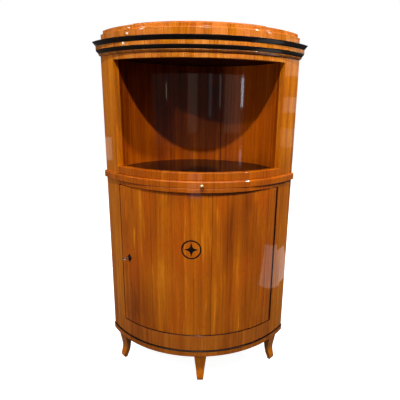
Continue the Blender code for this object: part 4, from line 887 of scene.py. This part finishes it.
foot = {"height": 0.1427, "topWidth": 0.063, "toeWidth": 0.032, "topDepth": 0.038, "sweep": 0.010,
        "front": 0.020 / plan["frontRadius"], "side": math.radians(46.8),
        "rowShares": ((1.00, 0.00, 1.00), (0.82, 0.30, 0.92), (0.66, 0.68, 0.78), (0.52, 0.97, 0.66),
                      (0.42, 1.00, 0.61), (0.33, 0.75, 0.63), (0.25, 0.30, 0.68), (0.13, -0.37, 0.63),
                      (0.06, -0.44, 0.55), (0.00, 0.05, 0.38))}


def footPiece(node, angle):
    rows = []
    for heightShare, sweepShare, depthShare in foot["rowShares"]:
        width = foot["toeWidth"] + (foot["topWidth"] - foot["toeWidth"]) * heightShare
        outer = plan["frontRadius"] - foot["sweep"] * sweepShare
        rows.append((foot["height"] * heightShare, width, outer, foot["topDepth"] * depthShare))
    height, width, outer, depth = rows[0]
    clearSelection()
    bpy.ops.mesh.primitive_plane_add(size=1)
    piece = placeStart(node + "_sabre", (width, depth, 1), (0, -outer + depth / 2, height))
    bpy.ops.object.mode_set(mode="EDIT")
    for nextHeight, nextWidth, nextOuter, nextDepth in rows[1:]:
        shift = (0, (-nextOuter + nextDepth / 2) - (-outer + depth / 2), nextHeight - height)
        bpy.ops.mesh.extrude_region_move(TRANSFORM_OT_translate={"value": shift})
        bpy.ops.transform.resize(value=(nextWidth / width, nextDepth / depth, 1),
                                 center_override=(0, -nextOuter + nextDepth / 2, nextHeight))
        height, width, outer, depth = nextHeight, nextWidth, nextOuter, nextDepth
    pickEdges(piece, lambda a, b: abs(a.z - b.z) > 0.002 or abs(a.z + b.z) < 1e-6
              or abs(a.z + b.z - 2 * foot["height"]) < 1e-6)
    bpy.ops.transform.edge_crease(value=1.0)
    bpy.ops.object.mode_set(mode="OBJECT")
    applyModifier(piece, "SUBSURF", levels=2, render_levels=2)
    tidyMesh(piece)
    applyModifier(piece, "BEVEL", width=0.0012, segments=3, limit_method="ANGLE",
                  angle_limit=math.radians(50))
    useOnly(piece)
    piece.location = (0, centreY, 0)
    piece.rotation_euler = (0, 0, angle)
    bpy.ops.object.transform_apply(location=True, rotation=True, scale=True)
    return smooth(dress(piece, "carcass", "cherry_veneer", stileVeneer, node), 35)


for node, angle in (("foot_front", foot["front"]), ("foot_left", -foot["side"]),
                    ("foot_right", foot["side"])):
    footPiece(node, angle)
print("niche and feet made")

# CAD pieces that keep their shape

kept = (
    (shadedNicheCeiling, ("niche_ceiling",)),
    (innerAcross, ("cupboard_bottom", "inner_shelf", "dust_board", "slide_board",
                   "slide_cleat", "slide_stop", "door_stop", "plinth_board", "roof_board",
                   "left_shelf_batten", "right_shelf_batten", "left_slide_guide",
                   "right_slide_guide", "left_slide_kicker", "right_slide_kicker")),
    (innerUpright, ("left_back_wall", "right_back_wall", "rear_post")),
    (blackMirror, ("niche_floor",)),
    (brass, ("lower_pivot_plate", "upper_pivot_plate", "door_lower_bush", "door_upper_bush",
             "strike_plate")),
    (steel, ("lock_case", "lock_bolt")),
    (stileVeneer, ("foot_rear",)),
    (topCherry, ("tier_top",)),
)
for finish, nodes in kept:
    for node in nodes:
        mesh = frame["nodes"][node].data
        mesh.materials.clear()
        mesh.materials.append(finish)
print("carried pieces dressed")

# Studio: a white floor, lamps under a ceiling and pale screens that show as reflections

studio = {"floorSize": 14.0, "floorGlow": 0.93, "dimRoom": (0.120, 0.110, 0.100), "ceilingGlow": 0.60,
          "roomGlow": 0.014, "glowColour": (1.0, 0.97, 0.92), "screenHeight": 1.4}
lamps = {  # place, aim, size, power, what it gives
    "main_light": ((0.0, -1.72, 2.95), (0, -0.3, 1.2), (0.06, 0.06), 46, "both"),
    "left_light": ((-2.03, -2.05, 2.95), (0, -0.2, 1.2), (0.10, 0.10), 17, "both"),
    "right_light": ((2.10, -1.15, 3.14), (0.3, -0.2, 0.9), (0.12, 0.12), 54, "both"),
    "left_low_light": ((-2.6, -1.35, 1.0), (-0.3, -0.2, 0.3), (0.3, 0.3), 15, "light"),
    "glint_a": ((-2.626, -0.683, 2.116), (-0.3, -0.22, 1.71), (0.16, 0.018), 0.15, "mirror"),
    "glint_b": ((-2.299, -1.419, 2.110), (-0.24, -0.26, 1.70), (0.20, 0.012), 0.12, "mirror"),
    "glint_c": ((-2.637, -0.690, 2.063), (-0.3, -0.23, 1.69), (0.12, 0.022), 0.15, "mirror"),
    "glint_d": ((-2.657, -0.723, 1.962), (-0.3, -0.26, 1.64), (0.14, 0.014), 0.11, "mirror"),
    "glint_e": ((2.560, -0.950, 2.103), (0.3, -0.24, 1.70), (0.20, 0.012), 0.12, "mirror"),
    "glint_f": ((0.289, -2.661, 2.134), (0.03, -0.31, 1.705), (0.30, 0.012), 0.12, "mirror"),
    "front_ceiling": ((0, -2.3, 3.1), (0, -2.301, 1.0), (4.4, 2.4), 105, "mirror"),
    "back_light": ((0.5, 3.4, 2.6), (0, 0.3, 0.9), (1.2, 1.2), 110, "light"),
    "floor_bounce": ((0.0, -1.15, 0.02), (0, -0.37, 0.7), (1.4, 0.9), 0.8, "light"),
    "near_patch": ((1.66, -0.155, 0.02), (1.66, -0.156, 1.0), (0.90, 0.69), 1.8, "both"),
    "far_patch": ((1.60, 0.42, 0.02), (1.60, 0.421, 1.0), (0.70, 0.46), 1.2, "both"),
}
screens = {  # direction from the cabinet, distance, lowest and highest slope, width, brightness, tint
    "right_screen_high": (108, 3.0, 5.7, 13.0, 1.6, 0.75, "warm"),
    "right_screen_middle": (108, 3.0, -2.0, 1.3, 1.6, 0.70, "warm"),
    "right_screen_low": (108, 3.0, -9.6, -5.5, 1.6, 0.40, "warm"),
    "left_screen_low": (-117, 3.0, -13.0, -8.0, 1.2, 0.80, "warm"),
    "front_left_screen": (-49, 4.0, -7.0, 12.0, 1.8, 0.30, "warm"),
    "blue_strip": (-63.6, 3.9, -1.0, 5.5, 0.28, 7.0, "blue"),
    "violet_left": (-6.5, 3.0, -20.5, -13.0, 0.46, 0.55, "violet"),
    "violet_right": (0.5, 3.0, -20.5, -13.0, 0.26, 0.55, "violet"),
    "small_strip": (49, 4.0, 0.5, 4.0, 0.08, 2.4, "warm"),
    "left_strip": (-29.3, 4.0, -1.2, 9.0, 0.16, 0.80, "blue"),
    "middle_strip": (-15.0, 4.0, -3.4, 9.0, 0.34, 0.34, "blue"),
    "front_right_screen": (10.5, 4.0, -7.0, 12.0, 0.95, 0.30, "warm"),
}
tints = {"warm": (1.0, 0.90, 0.74), "blue": (0.72, 0.86, 1.0), "violet": (0.45, 0.50, 1.0)}


def studioFloor():
    finish = Finish("pale_floor")
    x, y, z = finish.objectPlace()
    grain = finish.noise(finish.vector(x * 40, y * 40, 0.0), detail=3.0)
    colour = finish.ramp(grain, [(0.3, (0.48, 0.48, 0.48)), (0.7, (0.52, 0.52, 0.52))])
    clearSelection()
    bpy.ops.mesh.primitive_plane_add(size=studio["floorSize"])
    floor = placeStart("studio_floor")
    floor.data.materials.append(finish.surface(base_color=colour, roughness=0.7,
                                               emission_color=(1, 1, 1, 1),
                                               emission_strength=studio["floorGlow"]))
    floor.visible_glossy = floor.visible_diffuse = False  # so that the polish doesn't mirror white


def areaLight(name, location, aim, size, power, gives, colour=(1, 1, 1)):
    light = bpy.data.lights.new(name, "AREA")
    light.shape = "DISK" if size[0] == size[1] else "RECTANGLE"
    light.size, light.size_y, light.energy, light.color = *size, power, colour
    lamp = bpy.data.objects.new(name, light)
    lamp.location = location
    lamp.rotation_euler = (Vector(aim) - Vector(location)).to_track_quat("-Z", "Y").to_euler()
    lamp.visible_camera = False
    lamp.visible_glossy, lamp.visible_diffuse = gives != "light", gives != "mirror"
    bpy.context.scene.collection.objects.link(lamp)


def studioWorld():
    air = Finish("studio_air", world=True)
    bpy.context.scene.world = air.material
    upward = air.node("ShaderNodeTexCoord")
    slope = Value(air, air.tree.nodes.new("ShaderNodeSeparateXYZ").outputs[2])
    air.tree.links.new(upward.socket, slope.socket.node.inputs[0])
    glow = slope.rise(0.3, 0.8) * studio["ceilingGlow"] + studio["roomGlow"]

    def background(colour, strength=1.0):
        return air.node("ShaderNodeBackground", None, {"Color": (*colour, 1), "Strength": strength})

    # The glow from above lights the wood, the polish mirrors a dim room, and the view is white.
    onSurfaces = air.node("ShaderNodeLightPath", output=2)
    inView = air.node("ShaderNodeLightPath", output=0)
    room = air.node("ShaderNodeMixShader", None, {0: onSurfaces, 1: background(studio["dimRoom"]),
                                                  2: background(studio["glowColour"], glow)})
    air.show(air.node("ShaderNodeMixShader", None, {0: inView, 1: room, 2: background((1, 1, 1))}))


studioFloor()
studioWorld()
for name, settings in lamps.items():
    areaLight(name, *settings)
for name, (turn, distance, low, high, width, brightness, tint) in screens.items():
    turn, low, high = math.radians(turn), math.radians(low), math.radians(high)
    bottom, top = (distance * math.tan(slope) + studio["screenHeight"] for slope in (low, high))
    place = (distance * math.sin(turn), -distance * math.cos(turn), (bottom + top) / 2)
    power = brightness * math.pi * width * (top - bottom)
    areaLight(name, place, (0, 0, place[2]), (width, top - bottom), power, "mirror", tints[tint])
bpy.context.scene.view_settings.view_transform = "Standard"

# Camera, at the photograph's view

view = {"lens": 33.42, "sensor": 36.0, "place": (0.0636, -1.9656, 1.4048), "down": math.radians(14.653),
        "roll": math.radians(1.005), "turn": math.radians(0.358), "shiftX": -0.0338,
        "shiftY": -0.0031}
cameraData = bpy.data.cameras.new("view_camera")
cameraData.lens, cameraData.sensor_width = view["lens"], view["sensor"]
cameraData.shift_x, cameraData.shift_y = view["shiftX"], view["shiftY"]
camera = bpy.data.objects.new("view_camera", cameraData)
bpy.context.scene.collection.objects.link(camera)
forward = Vector((math.sin(view["turn"]) * math.cos(view["down"]),
                  math.cos(view["turn"]) * math.cos(view["down"]), -math.sin(view["down"])))
side = Vector((math.cos(view["turn"]), -math.sin(view["turn"]), 0))
up = side.cross(forward)
sideRolled = side * math.cos(view["roll"]) + up * math.sin(view["roll"])
upRolled = up * math.cos(view["roll"]) - side * math.sin(view["roll"])
cameraMatrix = camera.matrix_world
for row in range(3):
    cameraMatrix[row][0], cameraMatrix[row][1] = sideRolled[row], upRolled[row]
    cameraMatrix[row][2], cameraMatrix[row][3] = -forward[row], view["place"][row]
camera.matrix_world = cameraMatrix
bpy.context.scene.camera = camera
print("studio and camera set")
